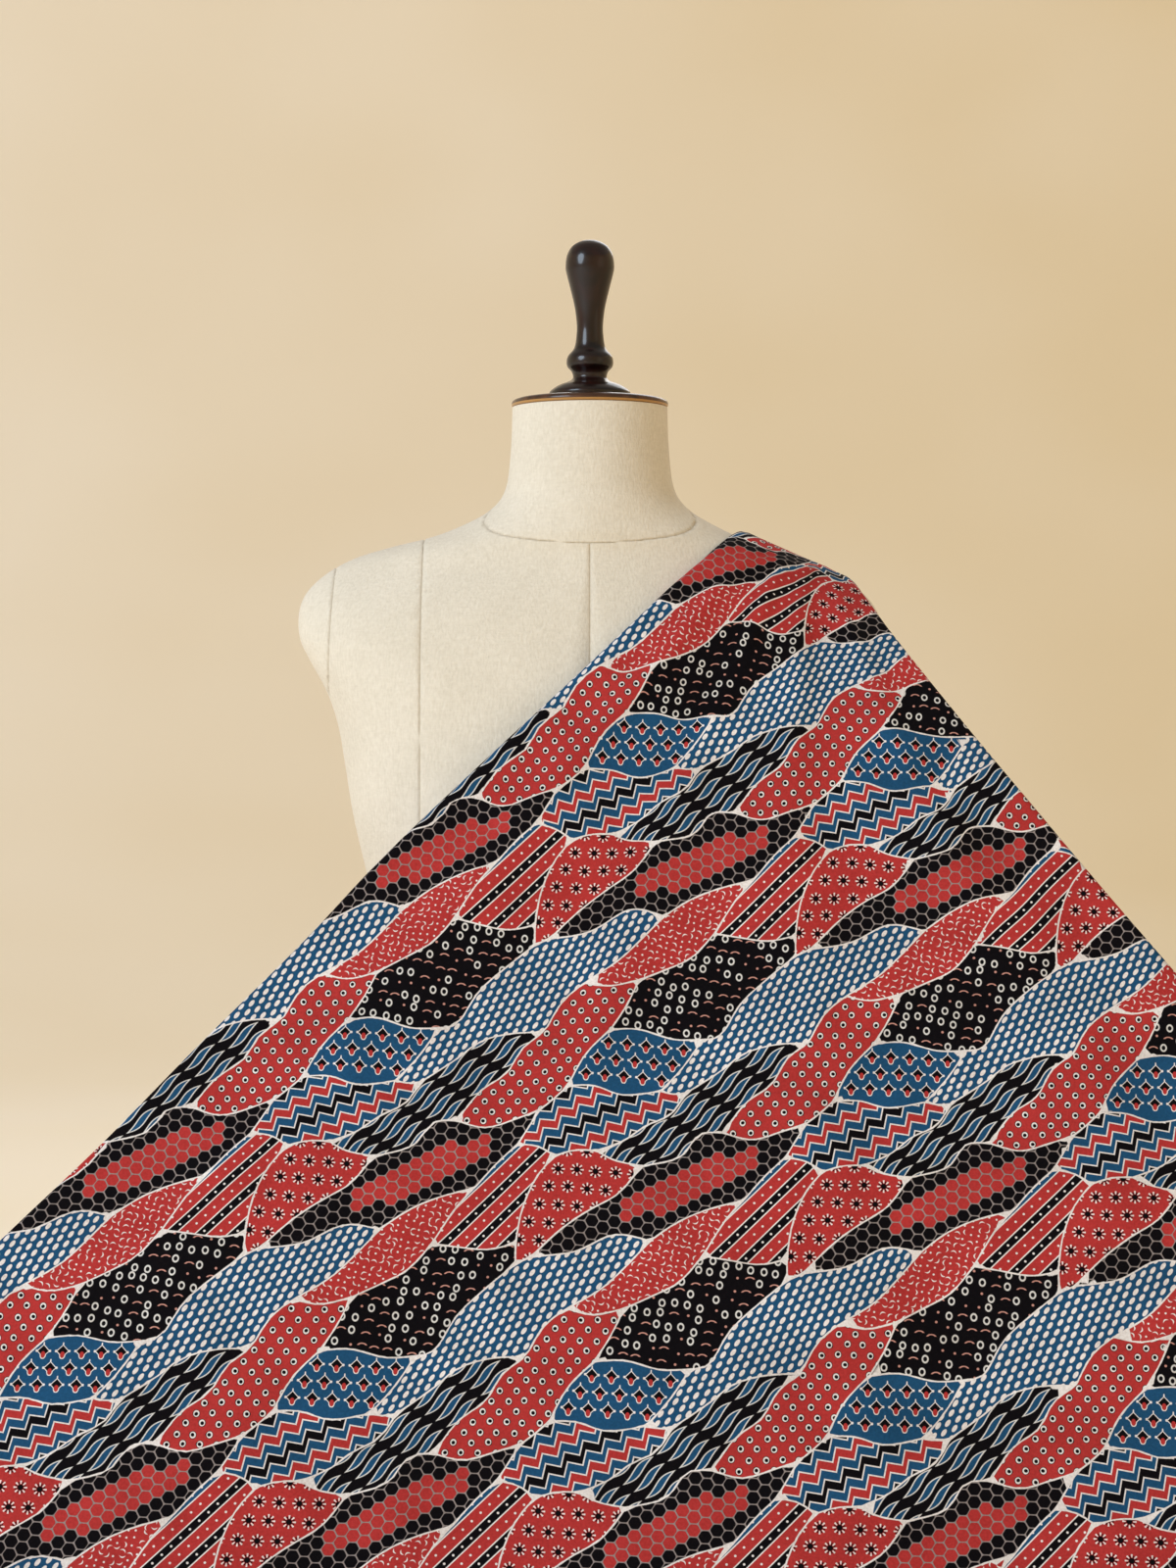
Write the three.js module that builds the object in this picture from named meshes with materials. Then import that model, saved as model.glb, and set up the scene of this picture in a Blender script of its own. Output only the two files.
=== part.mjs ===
import * as THREE from "three";

// A length of ajrakh printed cotton thrown over one shoulder of a dress form.
// Millimetres. +X is the viewer's right, -Y the front, +Z up, and the floor is z = 0.

// Driving dimensions
const NECK_TOP = 753;
const PLATE_RADIUS = 53.5;
const PLATE_HEIGHT = 7.5;
const JOINT_GAP = 0.3;
const SHEET = 1.6;
const SHEET_GAP = 1.1;
const FOLDED_EDGE_ROOM = 13;
const FLAP_ROOM = 3.2;

// The bust of the form: two soft swellings on the front.
const BUST = { x: 84, z: 412, rise: 25, width: 50, height: 62 };
// The shoulder under the cloth sits a little lower than the bare one.
const SHOULDER_DROP = { depth: 8, fromX: 60, toX: 185, fromZ: 540, toZ: 620 };

// Horizontal sections of the form: half width, depth to the front and to the back, and squareness,
// which is the power of the superellipse.
const FORM_SECTIONS = [
  { z: 0, half: 152, front: 92, back: 98, square: 2.2 },
  { z: 3, half: 157, front: 97, back: 103, square: 2.2 },
  { z: 10, half: 160, front: 100, back: 106, square: 2.2 },
  { z: 60, half: 168, front: 106, back: 116, square: 2.2 },
  { z: 115, half: 168, front: 106, back: 118, square: 2.2 },
  { z: 200, half: 142, front: 98, back: 98, square: 2.2 },
  { z: 285, half: 120, front: 88, back: 82, square: 2.2 },
  { z: 350, half: 131, front: 90, back: 86, square: 2.25 },
  { z: 434, half: 152, front: 95, back: 96, square: 2.3 },
  { z: 475, half: 161.5, front: 97, back: 100, square: 2.35 },
  { z: 509, half: 167, front: 96, back: 102, square: 2.4 },
  { z: 537, half: 172, front: 93, back: 101, square: 2.45 },
  { z: 560, half: 180, front: 89, back: 98, square: 2.45 },
  { z: 580, half: 191, front: 84, back: 94, square: 2.3 },
  { z: 595, half: 198, front: 79, back: 90, square: 2.15 },
  { z: 612, half: 199, front: 73, back: 84, square: 1.95 },
  { z: 626, half: 194, front: 67, back: 78, square: 1.75 },
  { z: 639, half: 181, front: 61, back: 71, square: 1.6 },
  { z: 650, half: 161, front: 57, back: 65, square: 1.6 },
  { z: 658, half: 135, front: 57, back: 62, square: 1.6 },
  { z: 665, half: 107, front: 58, back: 60, square: 1.65 },
  { z: 674, half: 84, front: 57, back: 58, square: 1.75 },
  { z: 684, half: 67, front: 56, back: 56, square: 1.9 },
  { z: 698, half: 57.5, front: 54, back: 55, square: 2 },
  { z: 725, half: 54, front: 53, back: 53.5, square: 2 },
  { z: NECK_TOP, half: 53, front: 52.5, back: 52.5, square: 2 },
];
const FORM_STEPS = 2;
const FORM_SIDES = 44;

// Turned knob: radius and height above the plate, up the outline.
const FINIAL_OUTLINE = [
  { r: 27.8, h: 0 },
  { r: 27.4, h: 3 },
  { r: 22, h: 7 },
  { r: 14.5, h: 10 },
  { r: 11.7, h: 12.4 },
  { r: 12.4, h: 16.5 },
  { r: 15.4, h: 20 },
  { r: 16, h: 23.6 },
  { r: 15, h: 27.5 },
  { r: 11.6, h: 31.5 },
  { r: 10.2, h: 34.8 },
  { r: 9.4, h: 40 },
  { r: 9, h: 48 },
  { r: 10.3, h: 60 },
  { r: 13.3, h: 73 },
  { r: 16.1, h: 84 },
  { r: 16.7, h: 89 },
  { r: 15.8, h: 96 },
  { r: 12.6, h: 102 },
  { r: 7.2, h: 105.6 },
];
const FINIAL_TOP = 106.8;

// Rows of the cloth from its hem on the floor, up the front and over the shoulder, to its end
// behind. Each row runs from its left edge to its right one. flap is the width turned under past
// each edge, turn the angle it turns through, and wave the depth of the soft folds.
const CLOTH_ROWS = [
  { lx: -592, ly: -418, lz: 0.8, rx: 722, ry: -418, rz: 0.8, flap: 8, turn: 0, wave: 7 },
  { lx: -584, ly: -392, lz: 0.8, rx: 713, ry: -392, rz: 0.8, flap: 9, turn: 0, wave: 7 },
  { lx: -577, ly: -368, lz: 0.8, rx: 706, ry: -368, rz: 0.8, flap: 11, turn: 0.1, wave: 7 },
  { lx: -566, ly: -352, lz: 12, rx: 694, ry: -352, rz: 12, flap: 15, turn: 0.6, wave: 7 },
  { lx: -545, ly: -338, lz: 33, rx: 674, ry: -338, rz: 33, flap: 24, turn: 1.5, wave: 7 },
  { lx: -498, ly: -314, lz: 76, rx: 630, ry: -314, rz: 76, flap: 44, turn: 2.4, wave: 6 },
  { lx: -433, ly: -280, lz: 141, rx: 572, ry: -280, rz: 141, flap: 68, turn: 2.85, wave: 6 },
  { lx: -362, ly: -245, lz: 213, rx: 508, ry: -245, rz: 213, flap: 86, turn: 2.9, wave: 5 },
  { lx: -302, ly: -214, lz: 271, rx: 458, ry: -214, rz: 271, flap: 94, turn: 2.9, wave: 4 },
  { lx: -245, ly: -184, lz: 330, rx: 408, ry: -184, rz: 330, flap: 96, turn: 2.9, wave: 4 },
  { lx: -178, ly: -156, lz: 397, rx: 353, ry: -155, rz: 397, flap: 92, turn: 2.95, wave: 3 },
  { lx: -126, ly: -138, lz: 452, rx: 310, ry: -133, rz: 450, flap: 86, turn: 3, wave: 3 },
  { lx: -46, ly: -118, lz: 528, rx: 258, ry: -106, rz: 516, flap: 72, turn: 3.05, wave: 2 },
  { lx: 12, ly: -98, lz: 582, rx: 227, ry: -82, rz: 558, flap: 52, turn: 3.05, wave: 1.5 },
  { lx: 58, ly: -76, lz: 626, rx: 199, ry: -54, rz: 598, flap: 28, turn: 2.6, wave: 1 },
  { lx: 89, ly: -47, lz: 653, rx: 185, ry: -28, rz: 622, flap: 12, turn: 1.1, wave: 0.5 },
  { lx: 105, ly: -21, lz: 665, rx: 178, ry: -12, rz: 633, flap: 6, turn: 0.3, wave: 0 },
  { lx: 110, ly: 2, lz: 666, rx: 175, ry: 4, rz: 638, flap: 5, turn: 0.3, wave: 0 },
  { lx: 109, ly: 24, lz: 662, rx: 177, ry: 22, rz: 632, flap: 6, turn: 0.3, wave: 0.5 },
  { lx: 105, ly: 48, lz: 644, rx: 181, ry: 42, rz: 614, flap: 9, turn: 0.5, wave: 2 },
  { lx: 99, ly: 72, lz: 610, rx: 190, ry: 66, rz: 584, flap: 16, turn: 1, wave: 5 },
  { lx: 95, ly: 90, lz: 556, rx: 198, ry: 86, rz: 538, flap: 24, turn: 1.8, wave: 8 },
  { lx: 88, ly: 101, lz: 440, rx: 211, ry: 99, rz: 434, flap: 32, turn: 2.4, wave: 11 },
  { lx: 82, ly: 105, lz: 305, rx: 225, ry: 104, rz: 303, flap: 36, turn: 2.6, wave: 13 },
  { lx: 77, ly: 107, lz: 172, rx: 238, ry: 107, rz: 172, flap: 38, turn: 2.7, wave: 14 },
];
const SHOULDER_ROW = 17;
const ROW_STEPS = 2;
const FRONT_COLUMNS = 26;
const FLAP_COLUMNS = 6;
const ROLL_RADIUS = 5;
const FRONT_WAVES = 3.2;
const BACK_WAVES = 2.6;
// Rows each side of the shoulder over which the cloth eases off the form.
const SEAT_ROWS = 3;
// Small steps, in rows and in shares of a row, that give the cloth's direction at an edge.
const ROW_NUDGE = 0.2;
const ACROSS_NUDGE = 0.04;
const BEND_STEPS = 12;
const BISECTIONS = 24;

const clamp01 = (value) => Math.min(1, Math.max(0, value));
const smoothstep = (from, to, value) => {
  const t = clamp01((value - from) / (to - from));
  return t * t * (3 - 2 * t);
};

// One number of a table, read smoothly between its rows; at is a row number and a fraction.
function readRow(table, key, at) {
  const last = table.length - 1;
  const i = Math.min(last - 1, Math.max(0, Math.floor(at)));
  const t = at - i;
  const before = table[Math.max(0, i - 1)][key];
  const start = table[i][key];
  const end = table[i + 1][key];
  const after = table[Math.min(last, i + 2)][key];
  const startSlope = (end - before) / 2;
  const endSlope = (after - start) / 2;
  const t2 = t * t;
  const t3 = t2 * t;
  return (2 * t3 - 3 * t2 + 1) * start + (t3 - 2 * t2 + t) * startSlope
    + (3 * t2 - 2 * t3) * end + (t3 - t2) * endSlope;
}

// The form's section at a height, straight between the table's rows.
function formSection(z) {
  let i = 0;
  while (i < FORM_SECTIONS.length - 2 && FORM_SECTIONS[i + 1].z < z) i += 1;
  const low = FORM_SECTIONS[i];
  const high = FORM_SECTIONS[i + 1];
  const t = clamp01((z - low.z) / (high.z - low.z));
  const mix = (key) => low[key] + (high[key] - low[key]) * t;
  return { half: mix("half"), front: mix("front"), back: mix("back"), square: mix("square") };
}

function bustRise(x, z) {
  const across = (Math.abs(x) - BUST.x) / BUST.width;
  const up = (z - BUST.z) / BUST.height;
  return BUST.rise * Math.exp(-across * across - up * up);
}

function shoulderDrop(x, z) {
  const { depth, fromX, toX, fromZ, toZ } = SHOULDER_DROP;
  return depth * smoothstep(fromX, toX, x) * smoothstep(fromZ, toZ, z);
}

// How far the form reaches to the front (side -1) or the back (side 1) at a place.
function formDepth(x, z, side) {
  const level = z + shoulderDrop(x, z);
  const { half, front, back, square } = formSection(level);
  const inside = 1 - Math.pow(Math.abs(x) / half, square);
  if (inside <= 0 || level > NECK_TOP) return 0;
  const share = Math.pow(inside, 1 / square);
  return share * (side < 0 ? front + bustRise(x, level) : back);
}

// The height of the bare shoulder's top line at a distance from the middle.
function shoulderTop(x) {
  let low = SHOULDER_DROP.toZ;
  let high = NECK_TOP;
  for (let k = 0; k < BISECTIONS; k += 1) {
    const z = (low + high) / 2;
    if (formDepth(x, z, 1) > 0) low = z;
    else high = z;
  }
  return low;
}

// Seats a point of the cloth on the shoulder's top, or moves it straight off the front or back of
// the form until it has the room given.
function seatPoint(point, at, fullRoom) {
  const fromShoulder = Math.abs(at - SHOULDER_ROW);
  if (fromShoulder < 1) {
    const seat = shoulderTop(point.x) + SHEET / 2 + SHEET_GAP;
    point.z += Math.max(0, seat - point.z) * (1 - fromShoulder);
  }
  if (fromShoulder > ROW_NUDGE) {
    const side = at > SHOULDER_ROW ? 1 : -1;
    const reach = formDepth(point.x, point.z, side);
    const room = FLAP_ROOM + (fullRoom - FLAP_ROOM) * clamp01(fromShoulder / SEAT_ROWS);
    if (reach > 0) point.y = side * Math.max(side * point.y, reach + room);
  }
}

function solidMesh(name, points, faces, material) {
  const geometry = new THREE.BufferGeometry();
  const numbers = points.flatMap((p) => [p.x, p.y, p.z]);
  geometry.setAttribute("position", new THREE.Float32BufferAttribute(numbers, 3));
  geometry.setIndex(faces.flat());
  geometry.computeVertexNormals();
  const mesh = new THREE.Mesh(geometry, material);
  mesh.name = name;
  return mesh;
}

// A closed solid through rings of equal length, each turning the same way round +Z.
function loftSolid(name, rings, material) {
  const sides = rings[0].length;
  const points = rings.flat();
  const faces = [];
  for (let r = 0; r < rings.length - 1; r += 1) {
    for (let s = 0; s < sides; s += 1) {
      const a = r * sides + s;
      const b = r * sides + (s + 1) % sides;
      faces.push([a, b, b + sides], [a, b + sides, a + sides]);
    }
  }
  const bottom = points.length;
  points.push(new THREE.Vector3(0, 0, rings[0][0].z));
  const top = points.length;
  points.push(new THREE.Vector3(0, 0, rings[rings.length - 1][0].z));
  const topStart = (rings.length - 1) * sides;
  for (let s = 0; s < sides; s += 1) {
    const next = (s + 1) % sides;
    faces.push([bottom, next, s], [top, topStart + s, topStart + next]);
  }
  return solidMesh(name, points, faces, material);
}

function makeFormBody(material) {
  const rings = [];
  const intervals = FORM_SECTIONS.length - 1;
  for (let k = 0; k <= intervals * FORM_STEPS; k += 1) {
    const at = k / FORM_STEPS;
    const section = {};
    for (const key of ["z", "half", "front", "back", "square"]) {
      section[key] = readRow(FORM_SECTIONS, key, at);
    }
    const ring = [];
    for (let s = 0; s < FORM_SIDES; s += 1) {
      const angle = (2 * Math.PI * s) / FORM_SIDES;
      const power = 2 / section.square;
      const across = Math.sign(Math.cos(angle)) * Math.pow(Math.abs(Math.cos(angle)), power);
      const deep = Math.sign(Math.sin(angle)) * Math.pow(Math.abs(Math.sin(angle)), power);
      const x = section.half * across;
      const depth = deep < 0 ? section.front + bustRise(x, section.z) : section.back;
      ring.push(new THREE.Vector3(x, depth * deep, section.z - shoulderDrop(x, section.z)));
    }
    rings.push(ring);
  }
  return loftSolid("form_body", rings, material);
}

function makeNeckPlate(material) {
  const bevel = 1.5;
  const outline = [
    new THREE.Vector2(0, 0),
    new THREE.Vector2(PLATE_RADIUS - bevel, 0),
    new THREE.Vector2(PLATE_RADIUS, bevel),
    new THREE.Vector2(PLATE_RADIUS, PLATE_HEIGHT - 2 * bevel),
    new THREE.Vector2(PLATE_RADIUS - 2 * bevel, PLATE_HEIGHT),
    new THREE.Vector2(0, PLATE_HEIGHT),
  ];
  const mesh = new THREE.Mesh(new THREE.LatheGeometry(outline, 40), material);
  mesh.name = "neck_plate";
  mesh.rotation.x = Math.PI / 2;
  mesh.position.z = NECK_TOP + JOINT_GAP;
  return mesh;
}

function makeFinial(material) {
  const outline = FINIAL_OUTLINE.map(({ r, h }) => new THREE.Vector2(r, h));
  outline.unshift(new THREE.Vector2(0, 0));
  outline.push(new THREE.Vector2(0, FINIAL_TOP));
  const mesh = new THREE.Mesh(new THREE.LatheGeometry(outline, 24), material);
  mesh.name = "neck_finial";
  mesh.rotation.x = Math.PI / 2;
  mesh.position.z = NECK_TOP + PLATE_HEIGHT + 2 * JOINT_GAP;
  return mesh;
}

// The cloth's middle surface without its turned edges: at is the row and across runs 0 to 1.
function clothPoint(at, across) {
  const read = (key) => readRow(CLOTH_ROWS, key, at);
  const left = new THREE.Vector3(read("lx"), read("ly"), read("lz"));
  const right = new THREE.Vector3(read("rx"), read("ry"), read("rz"));
  const point = left.lerp(right, across);
  const behind = at > SHOULDER_ROW;
  const waves = behind ? BACK_WAVES : FRONT_WAVES;
  const swell = Math.sin(2 * Math.PI * waves * across + 0.8) + 0.4 * Math.sin(5.1 * waves * across);
  const taut = behind ? 1 : Math.sin(Math.PI * across);
  point.y += read("wave") * swell * taut;
  seatPoint(point, at, FOLDED_EDGE_ROOM);
  return point;
}

// Past an edge the cloth bends under round a soft roll and runs back behind itself.
function flapPoint(edge, outward, under, width, turn, share) {
  const step = (width * share) / BEND_STEPS;
  const point = edge.clone();
  for (let k = 0; k < BEND_STEPS; k += 1) {
    const angle = Math.min(turn, ((k + 0.5) * step) / ROLL_RADIUS);
    point.addScaledVector(outward, Math.cos(angle) * step);
    point.addScaledVector(under, Math.sin(angle) * step);
  }
  return point;
}

function clothRow(at) {
  const last = CLOTH_ROWS.length - 1;
  const low = Math.max(0, at - ROW_NUDGE);
  const high = Math.min(last, at + ROW_NUDGE);
  const front = [];
  for (let c = 0; c <= FRONT_COLUMNS; c += 1) front.push(clothPoint(at, c / FRONT_COLUMNS));
  const flap = readRow(CLOTH_ROWS, "flap", at);
  const turn = readRow(CLOTH_ROWS, "turn", at);
  const turned = (across, sign) => {
    const edge = clothPoint(at, across);
    const inner = clothPoint(at, across - sign * ACROSS_NUDGE);
    const outward = edge.clone().sub(inner).normalize();
    const rise = clothPoint(high, across).sub(clothPoint(low, across));
    const under = outward.clone().multiplyScalar(-sign).cross(rise).normalize();
    const points = [];
    for (let k = 1; k <= FLAP_COLUMNS; k += 1) {
      const point = flapPoint(edge, outward, under, flap, turn, k / FLAP_COLUMNS);
      seatPoint(point, at, FLAP_ROOM);
      points.push(point);
    }
    return points;
  };
  return [...turned(0, -1).reverse(), ...front, ...turned(1, 1)];
}

// A sheet of even thickness on a grid of middle points, flat where it lies on the floor.
function sheetSolid(name, grid, thickness, material) {
  const rows = grid.length;
  const columns = grid[0].length;
  const outer = [];
  const inner = [];
  for (let i = 0; i < rows; i += 1) {
    for (let j = 0; j < columns; j += 1) {
      const across = grid[i][Math.min(columns - 1, j + 1)].clone().sub(grid[i][Math.max(0, j - 1)]);
      const along = grid[Math.min(rows - 1, i + 1)][j].clone().sub(grid[Math.max(0, i - 1)][j]);
      const normal = across.cross(along).normalize();
      outer.push(grid[i][j].clone().addScaledVector(normal, thickness / 2));
      inner.push(grid[i][j].clone().addScaledVector(normal, -thickness / 2));
    }
  }
  const points = [...outer, ...inner];
  for (const point of points) point.z = Math.max(0, point.z);
  const count = rows * columns;
  const faces = [];
  const quad = (a, b, c, d) => faces.push([a, b, c], [a, c, d]);
  for (let i = 0; i < rows - 1; i += 1) {
    for (let j = 0; j < columns - 1; j += 1) {
      const a = i * columns + j;
      quad(a, a + 1, a + columns + 1, a + columns);
      quad(count + a, count + a + columns, count + a + columns + 1, count + a + 1);
    }
  }
  for (let j = 0; j < columns - 1; j += 1) {
    const end = (rows - 1) * columns + j;
    quad(j + 1, j, count + j, count + j + 1);
    quad(end, end + 1, count + end + 1, count + end);
  }
  for (let i = 0; i < rows - 1; i += 1) {
    const a = i * columns;
    const b = a + columns - 1;
    quad(a, a + columns, count + a + columns, count + a);
    quad(b + columns, b, count + b, count + b + columns);
  }
  return solidMesh(name, points, faces, material);
}

function makeCloth(material) {
  const grid = [];
  const last = CLOTH_ROWS.length - 1;
  for (let k = 0; k <= last * ROW_STEPS; k += 1) grid.push(clothRow(k / ROW_STEPS));
  for (const row of grid) {
    for (const point of row) point.z = Math.max(SHEET / 2, point.z);
  }
  return sheetSolid("ajrakh_cloth", grid, SHEET, material);
}

const coverCotton = new THREE.MeshStandardMaterial({ color: 0xd9cdb8, roughness: 0.95 });
const darkWood = new THREE.MeshStandardMaterial({ color: 0x1d1210, roughness: 0.25 });
const plateWood = new THREE.MeshStandardMaterial({ color: 0x3b2417, roughness: 0.4 });
const printedCotton = new THREE.MeshStandardMaterial({ color: 0x8f2f31, roughness: 0.9 });

const model = new THREE.Group();
model.add(makeFormBody(coverCotton));
model.add(makeNeckPlate(plateWood));
model.add(makeFinial(darkWood));
model.add(makeCloth(printedCotton));

export default model;
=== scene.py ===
# %% [markdown]
# # A length of ajrakh cotton on a dress form
# The cloth is a patchwork print that hangs from one shoulder of a covered dress form and
# spreads down to the floor. The imported model gives every size, so the lesson starts by
# loading it.

# %% Load the frame
import math
from functools import partial

import bmesh
import bpy
import numpy as np
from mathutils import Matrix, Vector


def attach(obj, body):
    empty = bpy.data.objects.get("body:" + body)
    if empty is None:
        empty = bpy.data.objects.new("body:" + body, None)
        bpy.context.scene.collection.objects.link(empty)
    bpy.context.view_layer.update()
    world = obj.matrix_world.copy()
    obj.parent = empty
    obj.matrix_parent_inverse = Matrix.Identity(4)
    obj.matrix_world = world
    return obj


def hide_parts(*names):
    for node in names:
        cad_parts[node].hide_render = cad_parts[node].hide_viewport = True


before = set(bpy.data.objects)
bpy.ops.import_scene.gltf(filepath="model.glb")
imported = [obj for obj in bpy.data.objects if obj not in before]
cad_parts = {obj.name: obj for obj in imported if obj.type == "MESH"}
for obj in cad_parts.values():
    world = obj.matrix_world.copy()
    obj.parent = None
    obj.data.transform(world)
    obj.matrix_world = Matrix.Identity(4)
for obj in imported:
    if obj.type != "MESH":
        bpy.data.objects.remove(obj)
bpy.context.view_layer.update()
MM = 0.001

# %% [markdown]
# ## The camera
# The photograph was taken from the front, a little over two metres away and level, so upright
# lines stay upright. A long lens from that distance gives the same mild perspective: the hem,
# which comes forward, looks a little larger than the shoulder.

# %% Camera
CAMERA_AT = Vector((-1.3, -2500, 496)) * MM
PHOTO_ROWS = 1600
SCALE_AT_FORM = 0.67  # mm of the form's middle plane for each row of the photograph
SENSOR = 36  # mm, along the picture's longer side

lens_data = bpy.data.cameras.new("camera")
lens_data.sensor_width = SENSOR
lens_data.lens = SENSOR * (-CAMERA_AT.y / MM / SCALE_AT_FORM) / PHOTO_ROWS
lens_data.clip_start = 0.05
lens_data.clip_end = 60
camera = bpy.data.objects.new("camera", lens_data)
bpy.context.scene.collection.objects.link(camera)
camera.location = CAMERA_AT
camera.rotation_euler = (math.radians(90), 0, 0)
bpy.context.scene.camera = camera
bpy.context.scene.view_settings.view_transform = "Standard"
print("lens:", round(lens_data.lens, 1), "mm")

# %% [markdown]
# ## One helper for every material
# A node tree is long to write by hand, so one small function adds a node, sets what it is told
# and links or fills its inputs in order. Another feeds a finished pattern to the surface.
# Colours are written as the hex numbers a picture editor shows, and one function turns them
# into the linear light that the shader works in.

# %% Node and colour helpers
def first_output(node):
    return next(output for output in node.outputs if output.enabled)


def add(tree, kind, *inputs, **settings):
    """Adds a node such as "Math:ADD". An input is a number, a socket or a node's first output,
    in order. A setting is a property of the node or, with a capital, an input by its name."""
    kind, _, operation = kind.partition(":")
    node = tree.nodes.new("ShaderNode" + kind)
    if operation:
        node.operation = operation
    for name, value in settings.items():
        if name in node.inputs:
            node.inputs[name].default_value = value
        else:
            setattr(node, name, value)
    sockets = [socket for socket in node.inputs if socket.enabled]
    for socket, value in zip(sockets, inputs):
        if isinstance(value, bpy.types.Node):
            value = first_output(value)
        if isinstance(value, bpy.types.NodeSocket):
            tree.links.new(value, socket)
        elif value is not None:
            socket.default_value = value
    return node


def feed(surface, name, node):
    surface.id_data.links.new(first_output(node), surface.inputs[name])


def colour(hex_code):
    parts = [int(hex_code[i : i + 2], 16) / 255 for i in (1, 3, 5)]
    linear = [c / 12.92 if c <= 0.04045 else ((c + 0.055) / 1.055) ** 2.4 for c in parts]
    return (*linear, 1.0)


def new_material(name):
    material = bpy.data.materials.new(name)
    material.use_nodes = True
    tree = material.node_tree
    return material, tree.nodes["Principled BSDF"], partial(add, tree)


# %% [markdown]
# ## Floor and walls
# A studio bowl has no edge: one smooth sheet runs from the floor up into the wall, so no line
# crosses the picture from any side. It starts as a disc whose rim is extruded and scaled
# outwards and upwards along a quarter circle.

# %% Studio bowl
BOWL_FLOOR = 3.4  # metres: radius of the flat floor, radius of the sweep, and the wall's top
BOWL_SWEEP = 4.2
BOWL_TOP = 5.0
BOWL_SIDES = 96
SWEEP_STEPS = 28


def select_none():
    bpy.ops.object.select_all(action="DESELECT")


def work_on(piece):
    select_none()
    piece.select_set(True)
    bpy.context.view_layer.objects.active = piece


def start_piece(name):
    piece = bpy.context.object
    piece.name = name
    piece.data.name = name
    return piece


def make_bowl():
    select_none()
    bpy.ops.mesh.primitive_circle_add(vertices=BOWL_SIDES, radius=BOWL_FLOOR)
    bowl = start_piece("studio_bowl")
    bpy.ops.object.mode_set(mode="EDIT")
    bpy.ops.mesh.select_mode(type="EDGE")
    bpy.ops.mesh.select_all(action="SELECT")
    bpy.ops.mesh.fill()
    bpy.ops.mesh.select_all(action="DESELECT")
    bpy.ops.mesh.select_non_manifold()
    path = []
    for k in range(SWEEP_STEPS):
        angle = math.radians(90) * (k + 1) / SWEEP_STEPS
        out, up = math.sin(angle), 1 - math.cos(angle)
        path.append((BOWL_FLOOR + BOWL_SWEEP * out, BOWL_SWEEP * up))
    path.append((path[-1][0], BOWL_TOP))
    radius, height = BOWL_FLOOR, 0
    for wider, higher in path:
        bpy.ops.mesh.extrude_edges_move(TRANSFORM_OT_translate={"value": (0, 0, higher - height)})
        grow = wider / radius
        bpy.ops.transform.resize(value=(grow, grow, 1), center_override=(0, 0, higher))
        radius, height = wider, higher
    bpy.ops.object.mode_set(mode="OBJECT")
    bpy.ops.object.shade_smooth()
    return bowl


bowl = make_bowl()
print("bowl:", len(bowl.data.polygons), "faces")

# %% [markdown]
# The bowl is painted plaster: dead matt, and brushed on unevenly, so its tone drifts in clouds
# more than a metre wide. Painted shade makes it a little darker and yellower to the right.

# %% Painted plaster
# painted shade: the colour moves towards a darker, yellower one to the right
PAINTED_SHADE_TO_RIGHT = 0.26  # share of the way to the deeper colour for each metre

plaster, surface, n = new_material("matt_painted_plaster")
place = n("TexCoord").outputs["Object"]
cloudy = n("TexNoise", place, noise_dimensions="3D", Scale=0.7)
across = n("SeparateXYZ", place).outputs["X"]
painted_shade_and_clouds = n("Math:MULTIPLY_ADD", across, PAINTED_SHADE_TO_RIGHT, cloudy)
tone = n("MapRange", painted_shade_and_clouds, 0.1, 0.9, 0.0, 1.0)
# the second colour carries the painted shade to the right, as well as the random clouds
feed(surface, "Base Color", n("Mix", tone, colour("#f6f0e6"), colour("#e2cfa9"), data_type="RGBA"))
surface.inputs["Roughness"].default_value = 0.95
surface.inputs["Emission Color"].default_value = colour("#f6e4c4")
surface.inputs["Emission Strength"].default_value = 0.23
bowl.data.materials.append(plaster)
print(plaster.name + ":", len(plaster.node_tree.nodes), "nodes")

# %% [markdown]
# ## The dress form
# The real form is a papier-mache body with a tight cover of undyed cotton, sewn from upright
# panels. It could be sculpted, but its shape is a stack of level sections, so it is drawn as
# one: a table gives the half width, the depth to the front and back, and how square each
# section is. A smooth curve through the table's rows reads any level between them.

# %% Sections of the form, in millimetres
NECK_TOP = 753
BUST = {"x": 84, "z": 412, "rise": 25, "width": 50, "height": 62}
SHOULDER_DROP = {"depth": 8, "from_x": 60, "to_x": 185, "from_z": 540, "to_z": 620}
# z, half width, depth to the front, depth to the back, squareness
FORM_SECTIONS = np.array([
    (0, 152, 92, 98, 2.2), (3, 157, 97, 103, 2.2), (10, 160, 100, 106, 2.2),
    (60, 168, 106, 116, 2.2), (115, 168, 106, 118, 2.2), (200, 142, 98, 98, 2.2),
    (285, 120, 88, 82, 2.2), (350, 131, 90, 86, 2.25), (434, 152, 95, 96, 2.3),
    (475, 161.5, 97, 100, 2.35), (509, 167, 96, 102, 2.4), (537, 172, 93, 101, 2.45),
    (560, 180, 89, 98, 2.45), (580, 191, 84, 94, 2.3), (595, 198, 79, 90, 2.15),
    (612, 199, 73, 84, 1.95), (626, 194, 67, 78, 1.75), (639, 181, 61, 71, 1.6),
    (650, 161, 57, 65, 1.6), (658, 135, 57, 62, 1.6), (665, 107, 58, 60, 1.65),
    (674, 84, 57, 58, 1.75), (684, 67, 56, 56, 1.9), (698, 57.5, 54, 55, 2),
    (725, 54, 53, 53.5, 2), (NECK_TOP, 53, 52.5, 52.5, 2),
])
Z, HALF, FRONT, BACK, SQUARE = range(5)


def smoothstep(start, end, value):
    t = np.clip((value - start) / (end - start), 0, 1)
    return t * t * (3 - 2 * t)


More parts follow.
